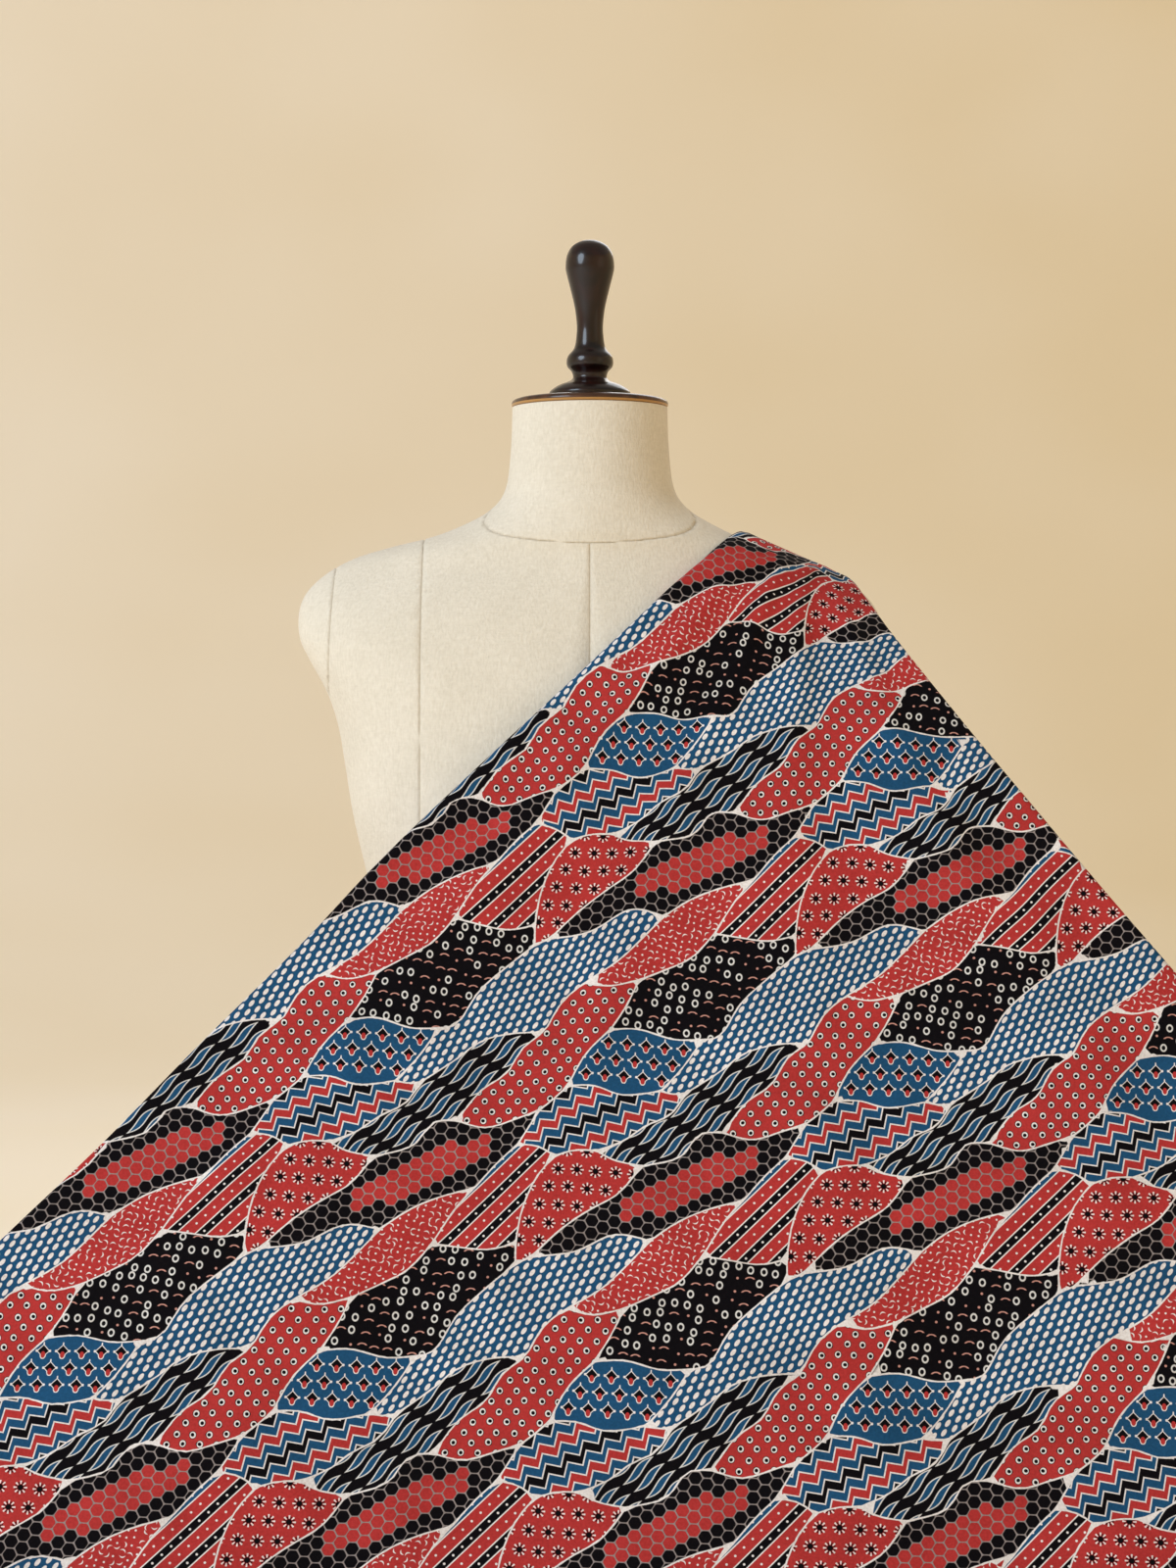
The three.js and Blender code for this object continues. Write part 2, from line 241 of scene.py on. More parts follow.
def read_row(table, at):
    """A row of a table at a whole or part row number, on a smooth curve through the rows."""
    last = len(table) - 1
    i = min(last - 1, max(0, int(at)))
    t = at - i
    start, end = table[i], table[i + 1]
    start_slope = (end - table[max(0, i - 1)]) / 2
    end_slope = (table[min(last, i + 2)] - start) / 2
    return (
        (2 * t**3 - 3 * t**2 + 1) * start
        + (t**3 - 2 * t**2 + t) * start_slope
        + (3 * t**2 - 2 * t**3) * end
        + (t**3 - t**2) * end_slope
    )


def smooth_rows(table, steps):
    """The rows of a table with others between them, so many steps to a row."""
    last = len(table) - 1
    return np.array([read_row(table, at) for at in np.linspace(0, last, last * steps + 1)])


def bust_rise(x, z):
    across = (np.abs(x) - BUST["x"]) / BUST["width"]
    up = (z - BUST["z"]) / BUST["height"]
    return BUST["rise"] * np.exp(-across * across - up * up)


def shoulder_drop(x, z):
    drop = SHOULDER_DROP
    across = smoothstep(drop["from_x"], drop["to_x"], x)
    return drop["depth"] * across * smoothstep(drop["from_z"], drop["to_z"], z)


print("form:", len(FORM_SECTIONS), "sections,", NECK_TOP, "mm to the top of its neck")

# %% [markdown]
# A filled circle is the start. It is extruded upwards once for each level, as one would stack
# rings by hand, and then each ring takes its section's outline.

# %% Raise the form
FORM_SIDES = 144
FORM_STEPS = 5
START_RADIUS = 0.15  # metres; only the direction of each point is kept


def make_form():
    select_none()
    rows = smooth_rows(FORM_SECTIONS, FORM_STEPS)
    bpy.ops.mesh.primitive_circle_add(vertices=FORM_SIDES, radius=START_RADIUS, fill_type="NGON")
    form = start_piece("covered_form")
    bpy.ops.object.mode_set(mode="EDIT")
    bpy.ops.mesh.select_mode(type="FACE")
    bpy.ops.mesh.select_all(action="SELECT")
    for step in np.diff(rows[:, Z]) * MM:
        bpy.ops.mesh.extrude_region_move(TRANSFORM_OT_translate={"value": (0, 0, step)})
    bpy.ops.mesh.select_all(action="SELECT")
    bpy.ops.mesh.normals_make_consistent(inside=False)
    bpy.ops.object.mode_set(mode="OBJECT")
    for vertex in form.data.vertices:
        level = np.argmin(np.abs(rows[:, Z] - vertex.co.z / MM))
        z, half, front, back, square = rows[level]
        angle = math.atan2(vertex.co.y, vertex.co.x)
        cosine, sine = math.cos(angle), math.sin(angle)
        x = half * math.copysign(abs(cosine) ** (2 / square), cosine)
        depth = front + bust_rise(x, z) if sine < 0 else back
        y = depth * math.copysign(abs(sine) ** (2 / square), sine)
        vertex.co = Vector((x, y, z - shoulder_drop(x, z))) * MM
    return form


form = make_form()
print("form:", len(form.data.polygons), "faces")

# %% [markdown]
# ## Seams of the cover
# The panels meet in shallow troughs: down the middle of the front and back, down both sides,
# through each bust and shoulder blade, round the neck and round each shoulder cap. Each seam
# lies in a plane, so the bisect operator cuts three lines close together, and the middle one
# is pressed in.

# %% Cut and press the seams
SEAM_HALF = 1.1  # mm from a seam's middle to the edge of its trough
SEAM_DEPTH = 1.0
ON_SEAM = 0.06  # mm from a seam's plane within which a point lies on the seam
SMOOTH_UNDER = 50  # degrees; the form's sharper edges stay sharp
NECK_SEAM = {"at": (0, -57, 657), "normal": (0, -0.53, 1), "above_z": 640, "within_x": 90}
CAP_SEAM = {"at": (176, 0, 590), "normal": (1, 0, 0.045), "above_z": 530, "past_x": 150}
PRINCESS = [  # x and z of the seam through each side panel, from the shoulder to the floor
    (113, 900), (113, 430), (74, 285), (104, 80), (104, -100),
]


def above_neck_seam(p):
    (_, y, z), (_, lean, _) = NECK_SEAM["at"], NECK_SEAM["normal"]
    return p.z > z - lean * (p.y - y)


def past_cap_seam(p):
    (x, _, z), (_, _, lean) = CAP_SEAM["at"], CAP_SEAM["normal"]
    return abs(p.x) > x - lean * (p.z - z) and p.z > CAP_SEAM["above_z"]


def body_panel(p):
    return not above_neck_seam(p) and not past_cap_seam(p)


def cut_seam(at, normal, inside, pressed):
    """Cuts three lines round a plane through the faces that inside chooses."""
    normal = Vector(normal).normalized()
    at = Vector(at)
    mesh = bmesh.from_edit_mesh(form.data)
    for shift in (-SEAM_HALF, SEAM_HALF, 0):
        for face in mesh.faces:
            face.select_set(inside(face.calc_center_median() / MM))
        mesh.select_flush_mode()
        bmesh.update_edit_mesh(form.data)
        point = (at + normal * shift) * MM
        bpy.ops.mesh.bisect(plane_co=point, plane_no=normal)
        mesh = bmesh.from_edit_mesh(form.data)
    pressed.append((at, normal, inside))


def cut_neck_seam(pressed):
    def near_neck(p):
        return p.z > NECK_SEAM["above_z"] and abs(p.x) < NECK_SEAM["within_x"]

    cut_seam(NECK_SEAM["at"], NECK_SEAM["normal"], near_neck, pressed)


def cut_cap_seam(side, pressed):
    (x, y, z), (across, deep, up) = CAP_SEAM["at"], CAP_SEAM["normal"]

    def cap(p):
        return p.x * side > CAP_SEAM["past_x"] and p.z > CAP_SEAM["above_z"]

    cut_seam((x * side, y, z), (across * side, deep, up), cap, pressed)


def cut_princess_seam(side, pressed):
    for (x1, z1), (x2, z2) in zip(PRINCESS, PRINCESS[1:]):

        def panel(p, low=z2, high=z1):
            return p.x * side > 0 and low < p.z <= high and body_panel(p)

        cut_seam((side * x1, 0, z1), (side * (z1 - z2), 0, x2 - x1), panel, pressed)


def cut_all_seams():
    pressed = []
    work_on(form)
    bpy.ops.object.mode_set(mode="EDIT")
    bpy.ops.mesh.select_mode(type="FACE")
    cut_neck_seam(pressed)
    cut_cap_seam(-1, pressed)
    cut_cap_seam(1, pressed)
    cut_seam((0, 0, 0), (1, 0, 0), body_panel, pressed)
    cut_seam((0, 0, 0), (0, 1, 0), body_panel, pressed)
    cut_princess_seam(-1, pressed)
    cut_princess_seam(1, pressed)
    bpy.ops.object.mode_set(mode="OBJECT")
    return pressed


def press_seams(pressed):
    mesh = form.data
    # marks the seam troughs, which the cover's material darkens with painted shade
    shade = mesh.attributes.new("seam", "FLOAT", "POINT")
    normals = [vertex.normal.copy() for vertex in mesh.vertices]
    for vertex, normal in zip(mesh.vertices, normals):
        p = vertex.co / MM
        for at, across, inside in pressed:
            if inside(p) and abs((p - at).dot(across)) < ON_SEAM:
                vertex.co -= normal * SEAM_DEPTH * MM
                shade.data[vertex.index].value = 1
                break


press_seams(cut_all_seams())
work_on(form)
bpy.ops.object.shade_smooth_by_angle(angle=math.radians(SMOOTH_UNDER))
print("form with seams:", len(form.data.polygons), "faces")
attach(form, "root")
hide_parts("form_body")

# %% [markdown]
# ## Neck plate and knob
# Both are turned on a lathe, so both come from one way of working: a filled circle is extruded
# up the outline and scaled to the radius at each height. Spin would do it too, but its seam
# has to be merged and its direction checked.

# %% Turn the plate and the knob
TURNED_SIDES = 96
KNOB_STEPS = 4
TURNED_SMOOTH_UNDER = 40  # degrees
JOINT_GAP = 0.3
PLATE_TOP = 7.5
PLATE_OUTLINE = [  # radius, height above the neck
    (51.5, 0), (52.8, 0.3), (53.5, 1.2), (53.5, 2.6), (53.1, 3.7), (52, 4.6), (49.5, 5.4),
    (45, 6), (38, 6.7), (31, 7.2), (28.6, 7.4), (27, PLATE_TOP), (8, PLATE_TOP),
]
KNOB_OUTLINE = np.array([  # radius, height above the plate
    (27.8, 0), (27.4, 3), (22, 7), (14.5, 10), (11.7, 12.4), (12.4, 16.5), (15.4, 20),
    (16, 23.6), (15, 27.5), (11.6, 31.5), (10.2, 34.8), (9.4, 40), (9, 48), (10.3, 60),
    (13.3, 73), (16.1, 84), (16.7, 89), (15.8, 96), (12.6, 102), (7.2, 105.6), (2.5, 106.7),
])


def turned_piece(name, outline, base):
    select_none()
    radius, height = outline[0]
    at = (0, 0, (base + height) * MM)
    bpy.ops.mesh.primitive_circle_add(
        vertices=TURNED_SIDES, radius=radius * MM, fill_type="NGON", location=at
    )
    piece = start_piece(name)
    bpy.ops.object.mode_set(mode="EDIT")
    bpy.ops.mesh.select_mode(type="FACE")
    bpy.ops.mesh.select_all(action="SELECT")
    for next_radius, next_height in outline[1:]:
        rise = (next_height - height) * MM
        bpy.ops.mesh.extrude_region_move(TRANSFORM_OT_translate={"value": (0, 0, rise)})
        grow = next_radius / radius
        bpy.ops.transform.resize(
            value=(grow, grow, 1), center_override=(0, 0, (base + next_height) * MM)
        )
        radius, height = next_radius, next_height
    bpy.ops.mesh.select_all(action="SELECT")
    bpy.ops.mesh.normals_make_consistent(inside=False)
    bpy.ops.object.mode_set(mode="OBJECT")
    bpy.ops.object.transform_apply(location=True, rotation=True, scale=True)
    bpy.ops.object.shade_smooth_by_angle(angle=math.radians(TURNED_SMOOTH_UNDER))
    return piece


plate_base = NECK_TOP + JOINT_GAP
plate = turned_piece("neck_plate_wood", PLATE_OUTLINE, plate_base)
knob_outline = smooth_rows(KNOB_OUTLINE, KNOB_STEPS)
knob = turned_piece("knob_wood", knob_outline, plate_base + PLATE_TOP + JOINT_GAP)
for piece, node_name, slot_name in (
    (plate, "neck_plate", "plate_wood"),
    (knob, "neck_finial", "finial_wood"),
):
    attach(piece, "root")
    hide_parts(node_name)
    print(piece.name + ":", len(piece.data.polygons), "faces")

# %% [markdown]
# ## How the cloth hangs
# The cloth is one length of cotton that lies over the right-hand shoulder. In front it fans
# out to a wide hem on the floor, and its two long sides are folded under on slanting lines.
# Behind the shoulder a narrow tail hangs in soft pleats. A cloth simulation would find some
# drape of its own; a table of rows keeps the drape of the photograph, so the sheet is laid
# row by row: where the row's left and right folds are, how wide the turned-under flap is and
# how far it has turned, and how deep the soft waves are.

# %% Rows of the cloth, in millimetres
SHOULDER_ROW = 17
SHEET_SEAT = 1.9  # from the form's skin to the middle of the sheet
FLOOR_SEAT = 0.8  # from the floor to the middle of the sheet
FLAP_ROOM = 3.2  # from the form to a flap, and from the form to the sheet in front of it
FOLDED_EDGE_ROOM = 13
ROLL_RADIUS = 5
FRONT_WAVES, BACK_WAVES = 3.2, 2.6  # soft waves across the sheet
WAVE_START = 0.8  # radians
RIPPLE, RIPPLE_TURN = 0.4, 5.1  # a second wave's share of the first, and radians a wave
# left fold x y z, right fold x y z, flap width, flap turn, wave depth
CLOTH_ROWS = np.array([
    (-592, -418, 0.8, 722, -418, 0.8, 8, 0, 7), (-584, -392, 0.8, 713, -392, 0.8, 9, 0, 7),
    (-577, -368, 0.8, 706, -368, 0.8, 11, 0.1, 7), (-566, -352, 12, 694, -352, 12, 15, 0.6, 7),
    (-545, -338, 33, 674, -338, 33, 24, 1.5, 7), (-498, -314, 76, 630, -314, 76, 44, 2.4, 6),
    (-433, -280, 141, 572, -280, 141, 68, 2.85, 6), (-362, -245, 213, 508, -245, 213, 86, 2.9, 5),
    (-302, -214, 271, 458, -214, 271, 94, 2.9, 4), (-245, -184, 330, 408, -184, 330, 96, 2.9, 4),
    (-178, -156, 397, 353, -155, 397, 92, 2.95, 3), (-126, -138, 452, 310, -133, 450, 86, 3, 3),
    (-46, -118, 528, 258, -106, 516, 72, 3.05, 2), (12, -98, 582, 227, -82, 558, 52, 3.05, 1.5),
    (58, -76, 626, 199, -54, 598, 28, 2.6, 1), (89, -47, 653, 185, -28, 622, 12, 1.1, 0.5),
    (105, -21, 665, 178, -12, 633, 6, 0.3, 0), (110, 2, 666, 175, 4, 638, 5, 0.3, 0),
    (109, 24, 662, 177, 22, 632, 6, 0.3, 0.5), (105, 48, 644, 181, 42, 614, 9, 0.5, 2),
    (99, 72, 610, 190, 66, 584, 16, 1, 5), (95, 90, 556, 198, 86, 538, 24, 1.8, 8),
    (88, 101, 440, 211, 99, 434, 32, 2.4, 11), (82, 105, 305, 225, 104, 303, 36, 2.6, 13),
    (77, 107, 172, 238, 107, 172, 38, 2.7, 14),
])
LEFT, RIGHT = slice(0, 3), slice(3, 6)
FLAP, TURN, WAVE = 6, 7, 8
print("cloth:", len(CLOTH_ROWS), "rows, the shoulder is row", SHOULDER_ROW)

# %% [markdown]
# Pulled cotton is never quite flat. Long soft folds fan out from the shoulder to the hem, and
# small puckers lie where the cloth is squeezed: below the top of the shoulder and along both
# long sides. They only bring the cloth forward, so they can't push it into the form.

# %% Small folds
FOLD_WIDTH = 0.045  # share across
FOLD_RISE = 0.3  # share of the way down over which a soft fold rises to its full height
SOFT_FOLDS = [  # share across at the shoulder and at the hem, height in mm
    (0.18, 0.1, 3.5), (0.42, 0.33, 3), (0.58, 0.6, 3.5), (0.8, 0.87, 3),
]
PUCKERS = [  # row, share across, reach in rows, reach across, height, waves a row and across
    (15, 0.32, 1.3, 0.2, 1.6, 2.6, 3), (15.2, 0.75, 0.9, 0.12, 1.2, 2.2, -4),
    (11, 0.86, 1.6, 0.07, 1.6, 1.6, -8), (8, 0.12, 1.5, 0.06, 1.4, 1.2, 9),
]


def small_folds(at, across):
    down = np.clip(1 - at / SHOULDER_ROW, 0, 1)
    raised = np.zeros_like(across)
    for top, hem, height in SOFT_FOLDS:
        off = (across - top - (hem - top) * down) / FOLD_WIDTH
        raised += height * smoothstep(0, FOLD_RISE, down) * np.exp(-off * off)
    for row, share, rows, width, height, by_row, by_share in PUCKERS:
        near = np.exp(-(((at - row) / rows) ** 2) - ((across - share) / width) ** 2)
        wave = 1 + np.sin(2 * np.pi * (by_row * at + by_share * across))
        raised += height * near * wave / 2
    return raised


print("folds:", len(SOFT_FOLDS), "soft folds and", len(PUCKERS), "groups of puckers")

# %% [markdown]
# The sheet must never pass through the form. So one rule seats every point: on top of the
# shoulder it is lifted to the form's top line, and in front or behind it is moved straight off
# the form until there is room.

# %% Seat a row on the form
HALVINGS = 24  # times the search for the shoulder's top is narrowed
TOP_ROWS = 0.2  # rows each side of the shoulder's top that are lifted and not pushed
EASE_ROWS = 3  # rows over which the cloth eases off the form


def form_depth(x, z, side):
    """How far the form reaches to the front (side -1) or the back (side 1)."""
    level = z + shoulder_drop(x, z)
    half, front, back, square = (
        np.interp(level, FORM_SECTIONS[:, Z], FORM_SECTIONS[:, key])
        for key in (HALF, FRONT, BACK, SQUARE)
    )
    inside = np.clip(1 - (np.abs(x) / half) ** square, 0, 1)
    share = np.where(level > NECK_TOP, 0, inside ** (1 / square))
    return share * (front + bust_rise(x, level) if side < 0 else back)


def shoulder_top(x):
    """The height of the shoulder's top line, found by halving."""
    low = np.full_like(x, SHOULDER_DROP["to_z"])
    high = np.full_like(x, NECK_TOP)
    for _ in range(HALVINGS):
        z = (low + high) / 2
        under = form_depth(x, z, 1) > 0
        low, high = np.where(under, z, low), np.where(under, high, z)
    return low


def seat(points, at, full_room):
    from_shoulder = abs(at - SHOULDER_ROW)
    if from_shoulder < 1:
        lift = shoulder_top(points[:, 0]) + SHEET_SEAT - points[:, 2]
        points[:, 2] += np.maximum(0, lift) * (1 - from_shoulder)
    if from_shoulder > TOP_ROWS:
        side = 1 if at > SHOULDER_ROW else -1
        reach = form_depth(points[:, 0], points[:, 2], side)
        room = FLAP_ROOM + (full_room - FLAP_ROOM) * min(1, from_shoulder / EASE_ROWS)
        pushed = side * np.maximum(side * points[:, 1], reach + room)
        points[:, 1] = np.where(reach > 0, pushed, points[:, 1])
    return points


def lay_row(at, across):
    """The middle of the sheet at a row, at shares from 0, the left fold, to 1, the right."""
    row = read_row(CLOTH_ROWS, at)
    points = row[LEFT] + (row[RIGHT] - row[LEFT]) * across[:, None]
    behind = at > SHOULDER_ROW
    waves = BACK_WAVES if behind else FRONT_WAVES
    swell = np.sin(2 * np.pi * waves * across + WAVE_START)
    swell += RIPPLE * np.sin(RIPPLE_TURN * waves * across)
    taut = 1 if behind else np.sin(np.pi * across)
    points[:, 1] += row[WAVE] * swell * taut
    points = seat(points, at, FOLDED_EDGE_ROOM)
    points[:, 1] -= small_folds(at, across)
    return points


def one_point(at, share):
    return lay_row(at, np.array([share]))[0]


print("shoulder top at x = 140:", round(float(shoulder_top(np.array([140.0]))[0]), 1), "mm")

# %% [markdown]
# Past each fold the cloth bends under round a soft roll and runs back behind itself. The
# print has to follow it as it would on real cloth: a step along the fold moves along the fold
# in the flat cloth too, and a step across it moves straight out past the fold. So the flat
# place of every point is worked out while it is laid.

# %% Lay the sheet
FRONT_COLUMNS = 180
FLAP_COLUMNS = 14
SHEET_ROWS = 216
TRIAL_ROWS = 2400  # laid to measure the cloth's length before its rows are spaced
FLAP_CROWDING = 1.6  # more columns near the roll than at the flap's free edge
SHOULDER_CROWDING, CROWDED_ROWS = 1.5, 2.5  # how many more rows lie over the shoulder
BEND_STEPS = 12
ROW_NUDGE, ACROSS_NUDGE = 0.2, 0.04  # small steps that show the cloth's direction at a fold


def unit(vector):
    return vector / np.linalg.norm(vector)


def flap_points(edge, outward, under, width, turn):
    """Points past a fold: each goes on round the roll until the flap has turned enough."""
    points = []
    for share in (np.arange(1, FLAP_COLUMNS + 1) / FLAP_COLUMNS) ** FLAP_CROWDING:
        step = width * share / BEND_STEPS
        angles = np.minimum(turn, (np.arange(BEND_STEPS) + 0.5) * step / ROLL_RADIUS)
        out, back = np.cos(angles).sum() * step, np.sin(angles).sum() * step
        points.append(edge + outward * out + under * back)
    return np.array(points)


def even_rows():
    """Row numbers at even steps along the middle of the cloth, and closer over the shoulder."""
    fine = np.linspace(0, len(CLOTH_ROWS) - 1, TRIAL_ROWS + 1)
    middle = np.array([one_point(at, 0.5) for at in fine])
    steps = np.linalg.norm(np.diff(middle, axis=0), axis=1)
    near = np.exp(-(((fine[1:] - SHOULDER_ROW) / CROWDED_ROWS) ** 2))
    length = np.concatenate([[0], np.cumsum(steps * (1 + SHOULDER_CROWDING * near))])
    return np.interp(np.linspace(0, length[-1], SHEET_ROWS + 1), length, fine)


def lay_front(rows):
    """The sheet between its folds: its points, and their places in the flat cloth."""
    across = np.linspace(0, 1, FRONT_COLUMNS + 1)
    points = np.array([lay_row(at, across) for at in rows])
    places = np.zeros((*points.shape[:2], 2))
    places[..., 0] = points[..., 0]
    steps = np.diff(points[..., 1:], axis=0)
    places[1:, :, 1] = np.cumsum(np.hypot(steps[..., 0], steps[..., 1]), axis=0)
    return points, places


def lay_flap(rows, edges, flat_edges, side):
    """The flap past the left fold (side -1) or the right one (side 1), outwards."""
    fold_share = 0.0 if side < 0 else 1.0
    laid, flat = [], []
    for k, at in enumerate(rows):
        outward = unit(edges[k] - one_point(at, fold_share - side * ACROSS_NUDGE))
        low, high = max(0, at - ROW_NUDGE), min(len(CLOTH_ROWS) - 1, at + ROW_NUDGE)
        rise = unit(one_point(high, fold_share) - one_point(low, fold_share))
        under = unit(np.cross(-side * outward, rise))
        width, turn = read_row(CLOTH_ROWS, at)[[FLAP, TURN]]
        points = seat(flap_points(edges[k], outward, under, width, turn), at, FLAP_ROOM)
        laid.append(points)
        fold = unit(flat_edges[min(SHEET_ROWS, k + 1)] - flat_edges[max(0, k - 1)])
        past = side * np.array([fold[1], -fold[0]])
        moves = np.diff(np.vstack([edges[k], points]), axis=0)
        along = moves @ rise
        beyond = np.sqrt(np.maximum(0, (moves**2).sum(1) - along**2))
        flat_moves = along[:, None] * fold + beyond[:, None] * past
        flat.append(flat_edges[k] + np.cumsum(flat_moves, axis=0))
    return np.array(laid), np.array(flat)


def lay_sheet():
    rows = even_rows()
    front, flat = lay_front(rows)
    left, flat_left = lay_flap(rows, front[:, 0], flat[:, 0], -1)
    right, flat_right = lay_flap(rows, front[:, -1], flat[:, -1], 1)
    points = np.concatenate([left[:, ::-1], front, right], axis=1)
    places = np.concatenate([flat_left[:, ::-1], flat, flat_right], axis=1)
    points[..., 2] = np.maximum(points[..., 2], FLOOR_SEAT)
    return points, places


sheet_points, sheet_places = lay_sheet()
print("flat cloth:", np.round(np.ptp(sheet_places.reshape(-1, 2), axis=0)).tolist(), "mm")

# %% [markdown]
# ## The patchwork print
# Ajrakh is printed on cotton with carved blocks, in resist paste, madder red, indigo and iron
# black. This cloth has ten wavy patches in each repeat, with a cream line of bare cotton
# between them. A picture could be wrapped on, but then the lines blur close up. So the repeat
# is charted: a few corners, and a smooth edge of a few points between two corners. The chart
# runs in hundredths of a repeat, to the right and up, from the middle of the zigzag patch.

# %% Chart of one repeat
REPEAT = np.array([167.0, 217.0])  # mm to the right and up
PRINT_TURN = math.radians(2.8)  # the rows of the print fall a little to the right
PRINT_START = (1.8, 287)  # x and z of the chart's start on the front of the cloth
CORNERS = {
    "A": (23.5, 62.5), "B": (-6, 40.7), "C": (15, 42), "D": (5, 26), "E": (40, 25.7),
    "F": (-10, 8), "G": (25, 8.6), "H": (34.5, 8.6), "I": (-20, 25.7), "J": (-20, 0.7),
    "K": (-51, -3), "L": (-27.5, -10), "M": (-13.5, -14), "N": (2, -11.6), "O": (19, -15),
    "P": (-42.5, -23.5), "Q": (-57, -41), "R": (-26, -41), "S": (-25.7, -47.3), "T": (-20, -45),
}
EDGES = {  # the repeat that the second corner is in, and points on the way to it
    "AB": ((0, 0), [(14, 53.5), (6, 47)]),
    "AT": ((0, 100), [(10, 63.5), (-4, 57.5)]),
    "AP": ((100, 100), [(33, 68.5), (44, 73)]),
    "BC": ((0, 0), [(4, 39.5)]),
    "BI": ((0, 0), [(-14, 35)]),
    "CD": ((0, 0), [(10.5, 33.5)]),
    "CQ": ((100, 100), [(25, 46.2), (35, 51)]),
    "DE": ((0, 0), [(16, 27), (29, 25)]),
    "DF": ((0, 0), [(-4, 18)]),
    "EG": ((0, 0), [(33, 16.5)]),
    "ES": ((100, 100), [(47, 27.5), (54, 37.5), (64, 45.5)]),
    "FG": ((0, 0), [(0, 8.3), (11, 6.3)]),
    "FJ": ((0, 0), [(-15, 4)]),
    "GH": ((0, 0), [(30, 8)]),
    "HI": ((100, 0), [(47, 16), (56, 22), (68, 25)]),
    "HN": ((0, 0), [(29, 1.5), (20, -2.5), (12, -7.8)]),
    "IK": ((0, 0), [(-28, 20.5), (-33.5, 12.5), (-43, 6.5)]),
    "JK": ((0, 0), [(-29, -2), (-40, -4.8)]),
    "JL": ((0, 0), [(-24, -5)]),
    "KO": ((-100, 0), [(-60, -4), (-67, -11.5)]),
    "LM": ((0, 0), [(-20, -11)]),
    "LP": ((0, 0), [(-35, -16)]),
    "MN": ((0, 0), [(-6, -12)]),
    "MR": ((0, 0), [(-20, -21), (-24.5, -31)]),
    "NO": ((0, 0), [(9, -14)]),
    "OT": ((0, 0), [(11, -24), (0, -30), (-10, -36.5)]),
    "PQ": ((0, 0), [(-49, -29.8)]),
    "QR": ((0, 0), [(-48, -41.8), (-36, -42.8)]),
    "RS": ((0, 0), []),
    "ST": ((0, 0), [(-23, -46.2)]),
}
PATCHES = {  # the corners round each patch, in order
    "ovals": "ABIHGEST", "dashes": "APQCB", "black_rings": "CQRSED", "red_rings": "BCDFJKI",
    "trees": "DEGF", "zigzag": "FGHNMLJ", "leaves": "HIKON", "honeycomb": "JLPATOK",
    "stripes": "LMRQP", "stars": "MNOTSR",
}
EDGE_STEPS = 5  # steps from one charted point of an edge to the next


def edge_points(start, end):
    """Points along an edge from its first corner, and how far its second corner is shifted."""
    forward = start + end in EDGES
    shift, via = EDGES[start + end if forward else end + start]
    shift = np.array(shift, float)
    first, last = (start, end) if forward else (end, start)
    charted = [CORNERS[first], *via, np.add(CORNERS[last], shift)]
    points = smooth_rows(np.array(charted, float), EDGE_STEPS)
    if forward:
        return points, shift
    return points[::-1] - shift, -shift


def patch_outline(corners):
    outline, moved = [], np.zeros(2)
    for start, end in zip(corners, corners[1:] + corners[0]):
        points, shift = edge_points(start, end)
        outline.append(points[:-1] + moved)
        moved = moved + shift
    assert np.allclose(moved, 0), corners + " doesn't close"
    return np.concatenate(outline) / 100 * REPEAT


outlines = {name: patch_outline(corners) for name, corners in PATCHES.items()}
print("print:", {name: len(outline) for name, outline in outlines.items()})

# %% [markdown]
# Each point of the cloth then gets ten numbers: how deep it lies in each patch, in
# millimetres, and less than nothing outside. The shader asks only whether a depth is over half
# a cream line, so the lines stay sharp between the points of the mesh.

# %% Depth of each point in each patch
DEPTH_REACH = 9  # mm outside a patch past which the depth no longer matters
LEVEL = 1e-9  # stands in for the rise of a level edge, so nothing is divided by nothing


def depth_in(outline, places):
    """Signed distance in mm to the nearest copy of a patch, for places within one repeat."""
    depth = np.full(len(places), -float(DEPTH_REACH))
    low, high = outline.min(0) - DEPTH_REACH, outline.max(0) + DEPTH_REACH
    for m in range(-2, 3):
        for n in range(-2, 3):
            shift = REPEAT * (m, n)
            near = np.all((places > low + shift) & (places < high + shift), axis=1)
            if not near.any():
                continue
            p = (places[near] - shift)[:, None]
            a = outline[None]
            b = np.roll(outline, -1, axis=0)[None]
            run = b - a
            t = np.clip(((p - a) * run).sum(-1) / (run**2).sum(-1), 0, 1)
            gap = np.sqrt((((p - a) - t[..., None] * run) ** 2).sum(-1)).min(1)
            crosses = (a[..., 1] > p[..., 1]) != (b[..., 1] > p[..., 1])
            slope = run[..., 0] / np.where(run[..., 1] == 0, LEVEL, run[..., 1])
            left = p[..., 0] < a[..., 0] + slope * (p[..., 1] - a[..., 1])
            inside = (crosses & left).sum(1) % 2 == 1
            depth[near] = np.maximum(depth[near], np.where(inside, gap, -gap))
    return depth


def chart_places():
    """The place of every point of the sheet in the print, counted in repeats."""
    middle = FLAP_COLUMNS + FRONT_COLUMNS // 2
    shoulder = np.argmax(sheet_points[:, middle, 2])
    heights = sheet_points[:shoulder, middle, 2]
    along_cloth = np.interp(PRINT_START[1], heights, sheet_places[:shoulder, middle, 1])
    away = sheet_places.reshape(-1, 2) - (PRINT_START[0], along_cloth)
    cosine, sine = math.cos(PRINT_TURN), math.sin(PRINT_TURN)
    return away @ np.array([[cosine, sine], [-sine, cosine]]) / REPEAT


